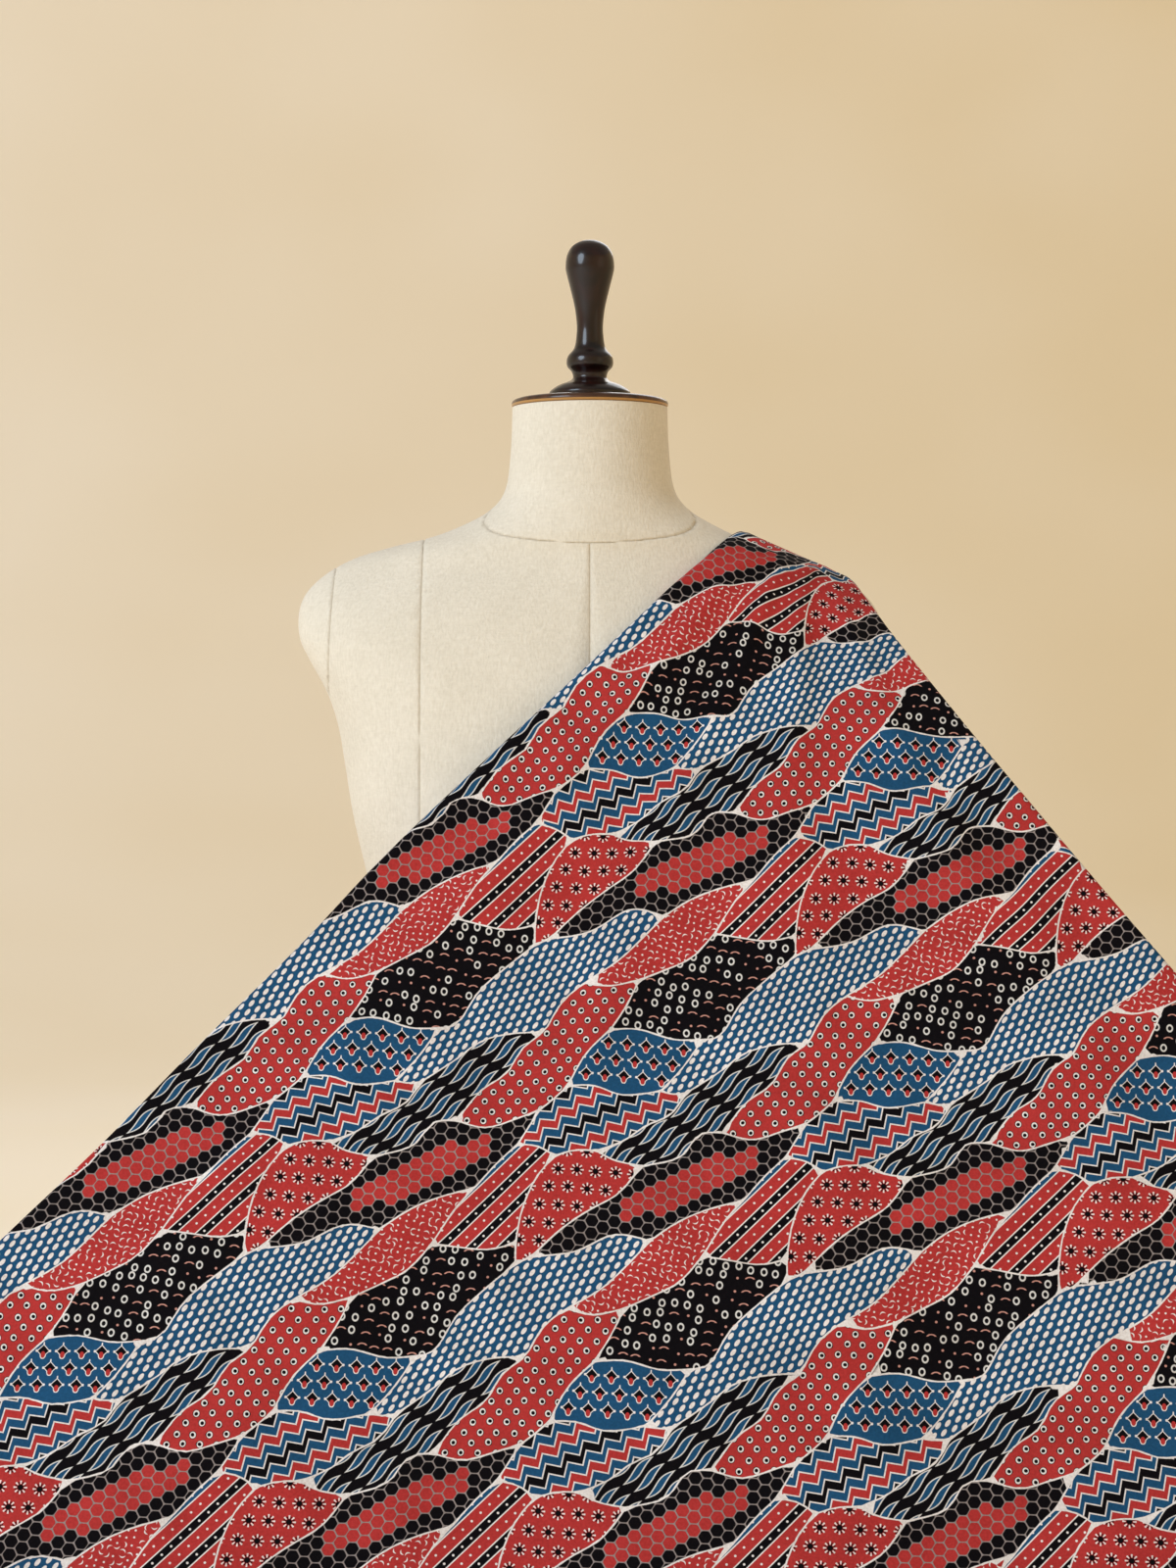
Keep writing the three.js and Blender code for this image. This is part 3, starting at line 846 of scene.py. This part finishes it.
chart = chart_places()
in_repeat = (chart - np.floor(chart)) * REPEAT
depths = {name: depth_in(outline, in_repeat) for name, outline in outlines.items()}
print("deepest:", {name: round(float(depth.max()), 1) for name, depth in depths.items()})

# %% [markdown]
# A grid primitive with the same count of squares becomes the cloth when each of its points is
# moved to its laid place. Solidify then gives the cotton its thickness.

# %% Build the cloth
CLOTH_THICKNESS = 0.7  # mm
WRONG_SIDE = 1  # the slot of the material on the inner face


def make_cloth(points):
    rows, columns = points.shape[:2]
    select_none()
    bpy.ops.mesh.primitive_grid_add(x_subdivisions=columns - 1, y_subdivisions=rows - 1, size=1)
    cloth = start_piece("ajrakh_cotton")
    cloth.data.vertices.foreach_set("co", (points * MM).ravel())
    cloth.data.update()
    corners = np.zeros(len(cloth.data.loops), int)
    cloth.data.loops.foreach_get("vertex_index", corners)
    uv_map = cloth.data.uv_layers[0]
    uv_map.name = "print"
    uv_map.uv.foreach_set("vector", chart[corners].ravel())
    for name, depth in depths.items():
        in_patch = cloth.data.attributes.new("patch_" + name, "FLOAT", "POINT")
        in_patch.data.foreach_set("value", depth)
    bpy.ops.object.shade_smooth()
    solid = cloth.modifiers.new("thickness", "SOLIDIFY")
    solid.thickness = CLOTH_THICKNESS * MM
    solid.offset = 0
    solid.material_offset = WRONG_SIDE
    bpy.ops.object.modifier_apply(modifier=solid.name)
    return cloth


cloth = make_cloth(sheet_points)
print("cloth:", len(cloth.data.polygons), "faces")
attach(cloth, "root")
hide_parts("ajrakh_cloth")

# %% [markdown]
# ## Printing the patches
# Inside its lines each patch is filled with a small motif that repeats on a slanting lattice.
# A lattice is given by two rows of whole numbers, the cells it has in one repeat to the right
# and up, so it always meets itself at the next repeat. A motif is then a distance in
# millimetres that is above zero inside it, and paint lays a colour wherever that is so.

# %% Lattices and brushes
DYE_EDGE = 0.2  # mm over which a printed edge softens
INK = {
    "blue": colour("#205580"), "red": colour("#c03b3b"), "black": colour("#0a070d"),
    "cream": colour("#f8f4f5"), "net": colour("#9c9393"), "pink": colour("#d79e93"),
    "pale": colour("#e6e6e6"),
}


def lattice(n, q, rows, shift=(0, 0)):
    """Place in a cell in mm from its middle, the same in shares of the cell, and its number."""
    to_mm = np.linalg.inv(np.array(rows, float) / REPEAT)
    grid = n("CombineXYZ", *(n("VectorMath:DOT_PRODUCT", q, (*row, 0)) for row in rows))
    grid = n("VectorMath:ADD", grid, (*shift, 0))
    cell = n("VectorMath:FLOOR", grid)
    share = n("VectorMath:SUBTRACT", n("VectorMath:SUBTRACT", grid, cell), (0.5, 0.5, 0))
    place = n("CombineXYZ", *(n("VectorMath:DOT_PRODUCT", share, (*row, 0)) for row in to_mm))
    return place, share, cell


def shake(n, place, cell, amount):
    """Moves each motif a little, as hand-carved blocks do, and gives its cell a chance 0 to 1."""
    random = n("TexWhiteNoise", cell, noise_dimensions="2D")
    reach, back = (2 * amount, 2 * amount, 0), (-amount, -amount, 0)
    offset = n("VectorMath:MULTIPLY_ADD", random.outputs["Color"], reach, back)
    return n("VectorMath:SUBTRACT", place, offset), random.outputs["Value"]


def blob(n, place, half_width, half_height, middle=(0, 0), lean=0.0):
    """An oval; lean turns it to the right, in degrees."""
    at = n("VectorMath:SUBTRACT", place, (*middle, 0))
    if lean:
        at = n("VectorRotate", at, None, math.radians(lean), rotation_type="Z_AXIS")
    length = n("VectorMath:LENGTH", n("VectorMath:DIVIDE", at, (half_width, half_height, 1)))
    return n("Math:MULTIPLY", n("Math:SUBTRACT", 1.0, length), min(half_width, half_height))


def ring(n, place, radius, half_line):
    off = n("Math:SUBTRACT", n("VectorMath:LENGTH", place), radius)
    return n("Math:SUBTRACT", half_line, n("Math:ABSOLUTE", off))


def paint(n, under, over, distance, soft=DYE_EDGE):
    """Lays a colour over another where the distance is above zero."""
    mask = n("Math:MULTIPLY_ADD", distance, 1 / soft, 0.5, use_clamp=True)
    return n("Mix", mask, under, over, data_type="RGBA")


def turn_at_random(n, place, chance):
    """Turns a motif by its chance, over a little more than a full turn."""
    return n("VectorRotate", place, None, n("Math:MULTIPLY", chance, 9.0), rotation_type="Z_AXIS")


def from_patch(n, q, x, y):
    """The place in repeats from the nearest copy of a point of the chart."""
    moved = n("VectorMath:SUBTRACT", q, (x - 0.5, y - 0.5, 0))
    return n("VectorMath:SUBTRACT", n("VectorMath:FRACTION", moved), (0.5, 0.5, 0))


print("colours:", ", ".join(INK))

# %% [markdown]
# The first four fills are the simple ones: cream ovals on indigo, scattered dashes on red, and
# rings on black and on red. Among the dashes are a few dots, and among the black patch's rings
# are pink arcs and dots, so a chance number for each cell picks its motif. Sizes are in mm.

# %% Ovals, dashes and rings
def fill_ovals(n, q):
    place, _, cell = lattice(n, q, ((31, -15), (-12, 42)))
    place, _ = shake(n, place, cell, 0.3)
    return paint(n, INK["blue"], INK["cream"], blob(n, place, 1.3, 2.55, lean=33))


def fill_dashes(n, q):
    place, _, cell = lattice(n, q, ((37, -9), (7, 49)))
    place, chance = shake(n, place, cell, 0.8)
    turned = turn_at_random(n, place, chance)
    curl = 0.3
    height = n("SeparateXYZ", turned).outputs["Y"]
    bend = n("Math:MULTIPLY", n("Math:POWER", height, 2.0), curl)
    bent = n("VectorMath:ADD", turned, n("CombineXYZ", n("Math:SUBTRACT", bend, curl)))
    dash = blob(n, bent, 0.42, 1.75)
    dot = blob(n, place, 0.65, 0.65)
    is_dash = n("Math:GREATER_THAN", chance, 0.35)
    return paint(n, INK["red"], INK["cream"], n("Mix", is_dash, dot, dash))


def fill_black_rings(n, q):
    place, _, cell = lattice(n, q, ((21, -6), (3, 28)))
    place, chance = shake(n, place, cell, 1.4)
    taller = n("VectorMath:MULTIPLY", place, (1.1, 0.88, 0))
    hoop = ring(n, taller, 1.85, 0.52)
    flatter = n("VectorMath:MULTIPLY_ADD", place, (1.0, 1.5, 0), (0, 1.6, 0))
    arc_foot = 0.9
    over_foot = n("Math:SUBTRACT", n("SeparateXYZ", flatter).outputs["Y"], arc_foot)
    arc = n("Math:MINIMUM", ring(n, flatter, 2.7, 0.55), over_foot)
    dot = blob(n, place, 0.8, 0.8)
    is_arc, is_dot = (n("Math:GREATER_THAN", chance, limit) for limit in (0.5, 0.76))
    motif = n("Mix", is_dot, n("Mix", is_arc, hoop, arc), dot)
    tint = n("Mix", is_arc, INK["pale"], INK["pink"], data_type="RGBA")
    return paint(n, INK["black"], tint, motif)


def fill_red_rings(n, q):
    place, _, cell = lattice(n, q, ((17, -17), (-1, 33)))
    place, chance = shake(n, place, cell, 0.6)
    turned = turn_at_random(n, place, chance)
    smudge = blob(n, turned, 1.7, 1.3, middle=(0.7, 0.7))
    printed = paint(n, INK["red"], INK["black"], smudge)
    printed = paint(n, printed, INK["black"], blob(n, place, 2.25, 2.5))
    printed = paint(n, printed, INK["cream"], blob(n, place, 1.85, 2.1))
    return paint(n, printed, INK["black"], blob(n, turned, 1.2, 1.1, middle=(0.2, 0.1)))


# %% [markdown]
# The tree, leaf and star motifs are each drawn once in a cell. A tree has a black cap on a red
# stem, both outlined in cream on the indigo ground, a thin spire above and a tick at each side,
# and only the rows that fit the patch are shown. A leaf follows the slant of its cell and sways
# along it. A star is eight cream petals and eight black spikes round a dark middle.

# %% Trees, leaves and stars
def fill_trees(n, q):
    rows = ((14, -11), (0, 20))
    place, _, cell = lattice(n, q, rows, shift=(0.33, 0.03))
    folded = n("VectorMath:ABSOLUTE", n("VectorMath:ADD", place, (0, 0.3, 0)))
    cap_reach, cap_side = 2.45, (0.72, 0.68, 0)
    cap = n("Math:SUBTRACT", cap_reach, n("VectorMath:DOT_PRODUCT", folded, cap_side))
    stem = blob(n, place, 1.4, 2.15, middle=(0, -2.7))
    cream_line = 0.5
    outline = n("Math:ADD", n("Math:MAXIMUM", cap, stem), cream_line)
    spire = blob(n, place, 0.4, 1.4, middle=(0, 4.2))
    ticks = blob(n, folded, 0.9, 0.5, middle=(3.9, 0.3))
    lines = n("Math:MAXIMUM", n("Math:MAXIMUM", outline, spire), ticks)
    row = n("Math:FLOORED_MODULO", n("SeparateXYZ", cell).outputs["Y"], float(rows[1][1]))
    shown = n("Math:COMPARE", row, 3.0, 1.2)  # rows 2 to 4 of the repeat
    printed = paint(n, INK["blue"], INK["cream"], lines)
    printed = paint(n, printed, INK["black"], cap)
    printed = paint(n, printed, INK["red"], stem)
    return n("Mix", shown, INK["blue"], printed, data_type="RGBA")


def fill_leaves(n, q):
    _, share, _ = lattice(n, q, ((16, -20), (3, 7)), shift=(-0.01, 0.12))
    parts = n("SeparateXYZ", share)
    pitch = 7.5  # mm from leaf to leaf, straight across
    half_width, swing, pale_line = 2.4, 1.1, 0.75
    one_sway, shortening = 6.3, 2.15  # radians, and 2 for a leaf as long as its cell
    wave = n("Math:SINE", n("Math:MULTIPLY", parts.outputs["Y"], one_sway))
    sway = n("Math:MULTIPLY", wave, swing)
    off = n("Math:ABSOLUTE", n("Math:MULTIPLY_ADD", parts.outputs["X"], pitch, sway))
    along = n("Math:MULTIPLY", parts.outputs["Y"], shortening)
    taper = n("Math:SUBTRACT", 1.0, n("Math:MULTIPLY", along, along))
    leaf = n("Math:SUBTRACT", n("Math:MULTIPLY", taper, half_width), off)
    printed = paint(n, INK["black"], INK["pale"], leaf)
    return paint(n, printed, INK["blue"], n("Math:SUBTRACT", leaf, pale_line))


def fill_stars(n, q):
    place, _, cell = lattice(n, q, ((14, -8), (0, 18)), shift=(-0.25, -0.29))
    place, _ = shake(n, place, cell, 0.4)
    parts = n("SeparateXYZ", place)
    radius = n("VectorMath:LENGTH", place)
    angle = n("Math:ARCTAN2", parts.outputs["Y"], parts.outputs["X"])
    eight = n("Math:COSINE", n("Math:MULTIPLY", angle, 8.0))
    petals_at, half_petal, spike_reach, core_radius = 3.15, 1.0, 3.5, 1.8
    petal_gap, spike_gap = 0.45, -0.5  # where the cosine cuts off a petal's and a spike's sides
    spread = n("Math:MULTIPLY", radius, 0.3)
    off = n("Math:ABSOLUTE", n("Math:SUBTRACT", radius, petals_at))
    petal_side = n("Math:MULTIPLY", n("Math:SUBTRACT", eight, petal_gap), spread)
    petal = n("Math:MINIMUM", n("Math:SUBTRACT", half_petal, off), petal_side)
    spike_side = n("Math:MULTIPLY", n("Math:SUBTRACT", spike_gap, eight), spread)
    spike = n("Math:MINIMUM", n("Math:SUBTRACT", spike_reach, radius), spike_side)
    core = n("Math:SUBTRACT", core_radius, radius)
    printed = paint(n, INK["red"], INK["cream"], petal)
    return paint(n, printed, INK["black"], n("Math:MAXIMUM", core, spike))


# %% [markdown]
# Zigzag, honeycomb and stripes fill their patches in bands. The zigzag's bands climb in steps,
# and its colours come round every four. The honeycomb takes the nearer of two lattices, and a
# hexagon is red where its middle lies in a long oval down the middle of the patch. The stripes
# carry a row of dots each, and the dark stripe at the top of the patch is indigo.

# %% Zigzag, honeycomb and stripes
def fill_zigzag(n, q):
    rises = (-4, 7)  # sets of four bands in a repeat, to the right and up
    steps, first_step = (12, 6), 0.51
    tread, climb = 0.63, 0.26  # share of a step that is tread, and a step's climb in sets
    tread_gap, riser_gap, half_line = 5.7, 3.3, 0.42  # mm from line to line on each
    step = n("Math:FRACT", n("Math:ADD", n("VectorMath:DOT_PRODUCT", q, (*steps, 0)), first_step))
    falling = n("Math:MULTIPLY", step, -climb / tread)
    rising = n("Math:MULTIPLY_ADD", step, climb / (1 - tread), -climb / (1 - tread))
    tooth = n("Math:MAXIMUM", falling, rising)
    bands = n("Math:SUBTRACT", n("VectorMath:DOT_PRODUCT", q, (*rises, 0)), tooth)
    fourths = n("Math:MULTIPLY_ADD", bands, 4.0, 0.5)
    number = n("Math:FLOORED_MODULO", n("Math:FLOOR", fourths), 4.0)
    off = n("Math:ABSOLUTE", n("Math:SUBTRACT", n("Math:FRACT", fourths), 0.5))
    on_riser = n("Math:GREATER_THAN", step, tread)
    spacing = n("Math:MULTIPLY_ADD", on_riser, riser_gap - tread_gap, tread_gap)
    to_line = n("Math:MULTIPLY", n("Math:SUBTRACT", 0.5, off), spacing)
    late = n("Math:GREATER_THAN", number, 1.5)
    odd = n("Math:GREATER_THAN", n("Math:MODULO", number, 2.0), 0.5)
    printed = n("Mix", late, INK["black"], INK["red"], data_type="RGBA")
    printed = n("Mix", odd, printed, INK["blue"], data_type="RGBA")
    return paint(n, printed, INK["cream"], n("Math:SUBTRACT", half_line, to_line))


def fill_honeycomb(n, q):
    rows = ((12, 0), (-1, 27))
    half_cell = REPEAT[1] / rows[1][1] / 2
    slant_side, corner_rounding, half_net = (0.866, 0.5, 0), 0.93, 0.32
    core, core_across, core_along = (0.374, -0.195), (-9, 21, 0), (3.6, 0, 0)  # in repeats
    one, _, _ = lattice(n, q, rows, shift=(0.3, 0.4))
    other, _, _ = lattice(n, q, rows, shift=(0.8, 0.9))
    nearer = n("Math:LESS_THAN", n("VectorMath:LENGTH", other), n("VectorMath:LENGTH", one))
    place = n("Mix", nearer, one, other, data_type="VECTOR")
    folded = n("VectorMath:ABSOLUTE", place)
    slant = n("VectorMath:DOT_PRODUCT", folded, slant_side)
    six = n("Math:MAXIMUM", n("SeparateXYZ", folded).outputs["Y"], slant)
    circle = n("Math:MULTIPLY", n("VectorMath:LENGTH", place), corner_rounding)
    to_net = n("Math:SUBTRACT", half_cell, n("Math:MAXIMUM", six, circle))
    middle = n("VectorMath:SUBTRACT", q, n("VectorMath:DIVIDE", place, (*REPEAT, 1)))
    away = from_patch(n, middle, *core)
    across = n("VectorMath:DOT_PRODUCT", away, core_across)
    along = n("VectorMath:DOT_PRODUCT", away, core_along)
    is_red = n("Math:LESS_THAN", n("VectorMath:LENGTH", n("CombineXYZ", across, along)), 1.0)
    printed = n("Mix", is_red, INK["black"], INK["red"], data_type="RGBA")
    return paint(n, printed, INK["net"], n("Math:SUBTRACT", half_net, to_net))


def fill_stripes(n, q):
    pair, dots = 14.3, 7.4  # mm from one black stripe to the next, and from dot to dot
    dot_rows, dot_radius, dark_from, half_line = (-2.7, 4.4), 0.75, 1.7, 0.4
    away = from_patch(n, q, -0.33, -0.26)
    _, share, cell = lattice(n, away, ((15.3, 21.6), (-8.58, 10.2)), shift=(0, 0.66))
    flat_place = n("VectorMath:MULTIPLY", share, (dots, pair, 0))
    off = n("SeparateXYZ", flat_place).outputs["Y"]
    is_dark = n("Math:GREATER_THAN", off, dark_from)
    is_top = n("Math:GREATER_THAN", n("SeparateXYZ", cell).outputs["Y"], 0.5)
    dark = n("Mix", is_top, INK["black"], INK["blue"], data_type="RGBA")
    printed = n("Mix", is_dark, INK["red"], dark, data_type="RGBA")
    for height in dot_rows:
        dot = blob(n, flat_place, dot_radius, dot_radius, middle=(0, height))
        printed = paint(n, printed, INK["cream"], dot)
    to_split = n("Math:ABSOLUTE", n("Math:SUBTRACT", off, dark_from))
    to_end = n("Math:SUBTRACT", pair / 2, n("Math:ABSOLUTE", off))
    to_line = n("Math:MINIMUM", to_split, to_end)
    return paint(n, printed, INK["cream"], n("Math:SUBTRACT", half_line, to_line))


FILLS = {
    "ovals": fill_ovals, "dashes": fill_dashes, "black_rings": fill_black_rings,
    "red_rings": fill_red_rings, "trees": fill_trees, "zigzag": fill_zigzag,
    "leaves": fill_leaves, "honeycomb": fill_honeycomb, "stripes": fill_stripes,
    "stars": fill_stars,
}
print("fills:", len(FILLS))

# %% [markdown]
# ## Printed cotton
# The cloth is a plain-woven cotton, printed by hand and washed: matt, with hardly a highlight,
# so it has a high roughness and a low specular level. The dye is uneven, darker in some places
# than in others, and less of it shows on the wrong side. Threads are about 0.4 mm apart, far
# too fine to show at this distance, so the weave's bump is drawn about 6 mm wide.

# %% Printed cotton material
HALF_LINE = 0.52  # mm, half of a cream line between patches
LINE_WOBBLE, WOBBLE_LENGTH = 0.5, 6  # mm by which the line's half width varies, and over what
DYE_CLOUD, DYE_SPECKLE = 35, 1.6  # mm across
WEAVE_DEPTH = 0.0002  # metres


def printed_cotton(name, wash):
    """wash is the share of bare cotton that shows, more on the wrong side of the cloth."""
    material, surface, n = new_material(name)
    q = n("UVMap", uv_map="print").outputs["UV"]
    p = n("VectorMath:MULTIPLY", q, (*REPEAT, 0))
    wobble = n("TexNoise", p, noise_dimensions="2D", Scale=1 / WOBBLE_LENGTH)
    line = n("Math:MULTIPLY_ADD", wobble, LINE_WOBBLE, HALF_LINE - LINE_WOBBLE / 2)
    printed = INK["cream"]
    for patch, fill in FILLS.items():
        depth = n("Attribute", attribute_name="patch_" + patch).outputs["Fac"]
        printed = paint(n, printed, fill(n, q), n("Math:SUBTRACT", depth, line))
    cloudy = n("TexNoise", p, noise_dimensions="2D", Scale=1 / DYE_CLOUD, Detail=4)
    speckle = n("TexNoise", p, noise_dimensions="2D", Scale=1 / DYE_SPECKLE)
    uneven = n("Math:MULTIPLY_ADD", cloudy, 0.5, n("Math:MULTIPLY", speckle, 0.45))
    tone = n("MapRange", uneven, 0.3, 0.65, 0.0, 1.0)
    shade = n("Mix", tone, colour("#dcd8d4"), colour("#ffffff"), data_type="RGBA")
    dyed = n("Mix", 1.0, printed, shade, data_type="RGBA", blend_type="MULTIPLY")
    if wash:
        dyed = n("Mix", wash, dyed, INK["cream"], data_type="RGBA")
    feed(surface, "Base Color", dyed)
    threads = n("SeparateXYZ", n("VectorMath:SINE", p))  # a sine of mm, so 6.3 mm a wave
    weave = n("Math:MULTIPLY", threads.outputs["X"], threads.outputs["Y"])
    feed(surface, "Normal", n("Bump", 0.35, WEAVE_DEPTH, None, weave))
    surface.inputs["Roughness"].default_value = 0.85
    surface.inputs["Specular IOR Level"].default_value = 0.1
    print(name + ":", len(material.node_tree.nodes), "nodes")
    return material


cloth.data.materials.append(printed_cotton("hand_printed_cotton", wash=0))
cloth.data.materials.append(printed_cotton("print_wrong_side", wash=0.25))

# %% [markdown]
# ## Undyed cotton cover
# The form's cover is unbleached calico: matt, off-white with a yellow cast, and slubby,
# because its yarns are uneven. The slubs run with the yarns, upright and level, and are about
# 5 mm long. The seam attribute marks the seams' troughs, where painted shade darkens it.

# %% Cover material
WARP_SLUB = (1.6, 1.6, 4.5)  # mm, the size of a thick place along x, y and z
WEFT_SLUB = (5, 5, 1.4)
SLUB_DEPTH = 0.0006  # metres


def cover_cotton():
    material, surface, n = new_material("unbleached_calico")
    place = n("TexCoord").outputs["Object"]
    upright = n("VectorMath:MULTIPLY", place, [1000 / size for size in WARP_SLUB])
    warp = n("TexNoise", upright, noise_dimensions="3D", Scale=1, Detail=3)
    level = n("VectorMath:MULTIPLY", place, [1000 / size for size in WEFT_SLUB])
    weft = n("TexNoise", level, noise_dimensions="3D", Scale=1)
    height = n("Math:ADD", warp, n("Math:MULTIPLY", weft, 0.5))
    cloudy = n("TexNoise", place, noise_dimensions="3D", Scale=14)
    tone = n("MapRange", n("Math:ADD", height, cloudy), 0.9, 1.6, 0.0, 1.0)
    cotton = n("Mix", tone, colour("#dcd4c4"), colour("#efe8da"), data_type="RGBA")
    seam_painted_shade = n("Attribute", attribute_name="seam").outputs["Fac"]
    # painted shade in the seam troughs: a darker colour where the seam attribute is set
    cotton = n("Mix", n("Math:MULTIPLY", seam_painted_shade, 0.35), cotton, colour("#9c8a6c"), data_type="RGBA")
    feed(surface, "Base Color", cotton)
    feed(surface, "Normal", n("Bump", 0.7, SLUB_DEPTH, None, height))
    surface.inputs["Roughness"].default_value = 0.9
    surface.inputs["Specular IOR Level"].default_value = 0.2
    surface.inputs["Sheen Weight"].default_value = 0.1
    return material


form.data.materials.append(cover_cotton())

# %% [markdown]
# ## Lacquered wood
# Plate and knob are turned hardwood under clear lacquer: smooth, with sharp highlights from a
# coat over darker grain. The knob is stained almost black and shows red only where light gets
# in. The plate is walnut brown, and its lower rim has worn down to bare golden wood.

# %% Wood materials
GRAIN = (30, 5, 30)  # mm, the size of a streak along x, y and z
WORN_LEAST, WORN_MORE = 0.3, 2.4  # mm of the plate's edge that is bare
WORN_PATCHES = 5  # to the metre, so the wear drifts slowly round the rim


def turned_wood(name, dark, light, roughness):
    material, surface, n = new_material(name)
    place = n("TexCoord").outputs["Object"]
    streaks = n("VectorMath:MULTIPLY", place, [1000 / size for size in GRAIN])
    grain = n("TexNoise", streaks, noise_dimensions="3D", Scale=1, Detail=6)
    tone = n("MapRange", grain, 0.35, 0.7, 0.0, 1.0)
    wood = n("Mix", tone, colour(dark), colour(light), data_type="RGBA")
    surface.inputs["Roughness"].default_value = roughness
    surface.inputs["Specular IOR Level"].default_value = 0.25
    surface.inputs["Coat Weight"].default_value = 0.45
    surface.inputs["Coat Roughness"].default_value = 0.06
    return material, surface, n, wood, place


def knob_wood():
    material, surface, _, wood, _ = turned_wood("black_lacquered_wood", "#040202", "#240a08", 0.3)
    feed(surface, "Base Color", wood)
    return material


def plate_wood():
    name = "worn_walnut_lacquer"
    material, surface, n, wood, place = turned_wood(name, "#2b180e", "#5b3822", 0.35)
    height = n("Math:MULTIPLY_ADD", n("SeparateXYZ", place).outputs["Z"], 1000.0, -plate_base)
    patchy = n("TexNoise", place, noise_dimensions="3D", Scale=WORN_PATCHES)
    rim = n("Math:SUBTRACT", n("Math:MULTIPLY_ADD", patchy, WORN_MORE, WORN_LEAST), height)
    feed(surface, "Base Color", paint(n, wood, colour("#b98a4e"), rim, soft=0.5))
    return material


knob.data.materials.append(knob_wood())
plate.data.materials.append(plate_wood())
print("materials:", [m.name for m in bpy.data.materials if m.users])

# %% [markdown]
# The cloth was cut flat before it was hung. Its flat size is what the laid places span.


# %% [markdown]
# ## Light
# One large soft light at the upper left models the form, a weak one fills the right, another
# lights the back, and the sky over the open bowl keeps every shadow pale.

# %% Lights
SKY = 0.42
LIGHTS = [  # name, place in metres, size, power in watts, tint
    ("key_softbox", (-3.1, -3.0, 2.6), 2.4, 127, "#d9ecff"),
    ("fill_softbox", (2.4, -1.8, 1.2), 1.8, 2, "#fff4e4"),
    ("back_softbox", (0.6, 2.4, 2.2), 1.8, 14, "#f4f8ff"),
]
AIM = Vector((0, 0, 0.5))

world = bpy.context.scene.world or bpy.data.worlds.new("sky")
bpy.context.scene.world = world
world.use_nodes = True
sky = world.node_tree.nodes["Background"]
sky.inputs["Color"].default_value = colour("#fff3e2")
sky.inputs["Strength"].default_value = SKY
for name, place, size, power, tint in LIGHTS:
    light = bpy.data.lights.new(name, "AREA")
    light.shape = "DISK"
    light.size = size
    light.energy = power
    light.color = colour(tint)[:3]
    lamp = bpy.data.objects.new(name, light)
    bpy.context.scene.collection.objects.link(lamp)
    lamp.location = place
    lamp.rotation_euler = (AIM - lamp.location).to_track_quat("-Z", "Y").to_euler()
    lamp.visible_camera = False
print("lights:", [name for name, *_ in LIGHTS])
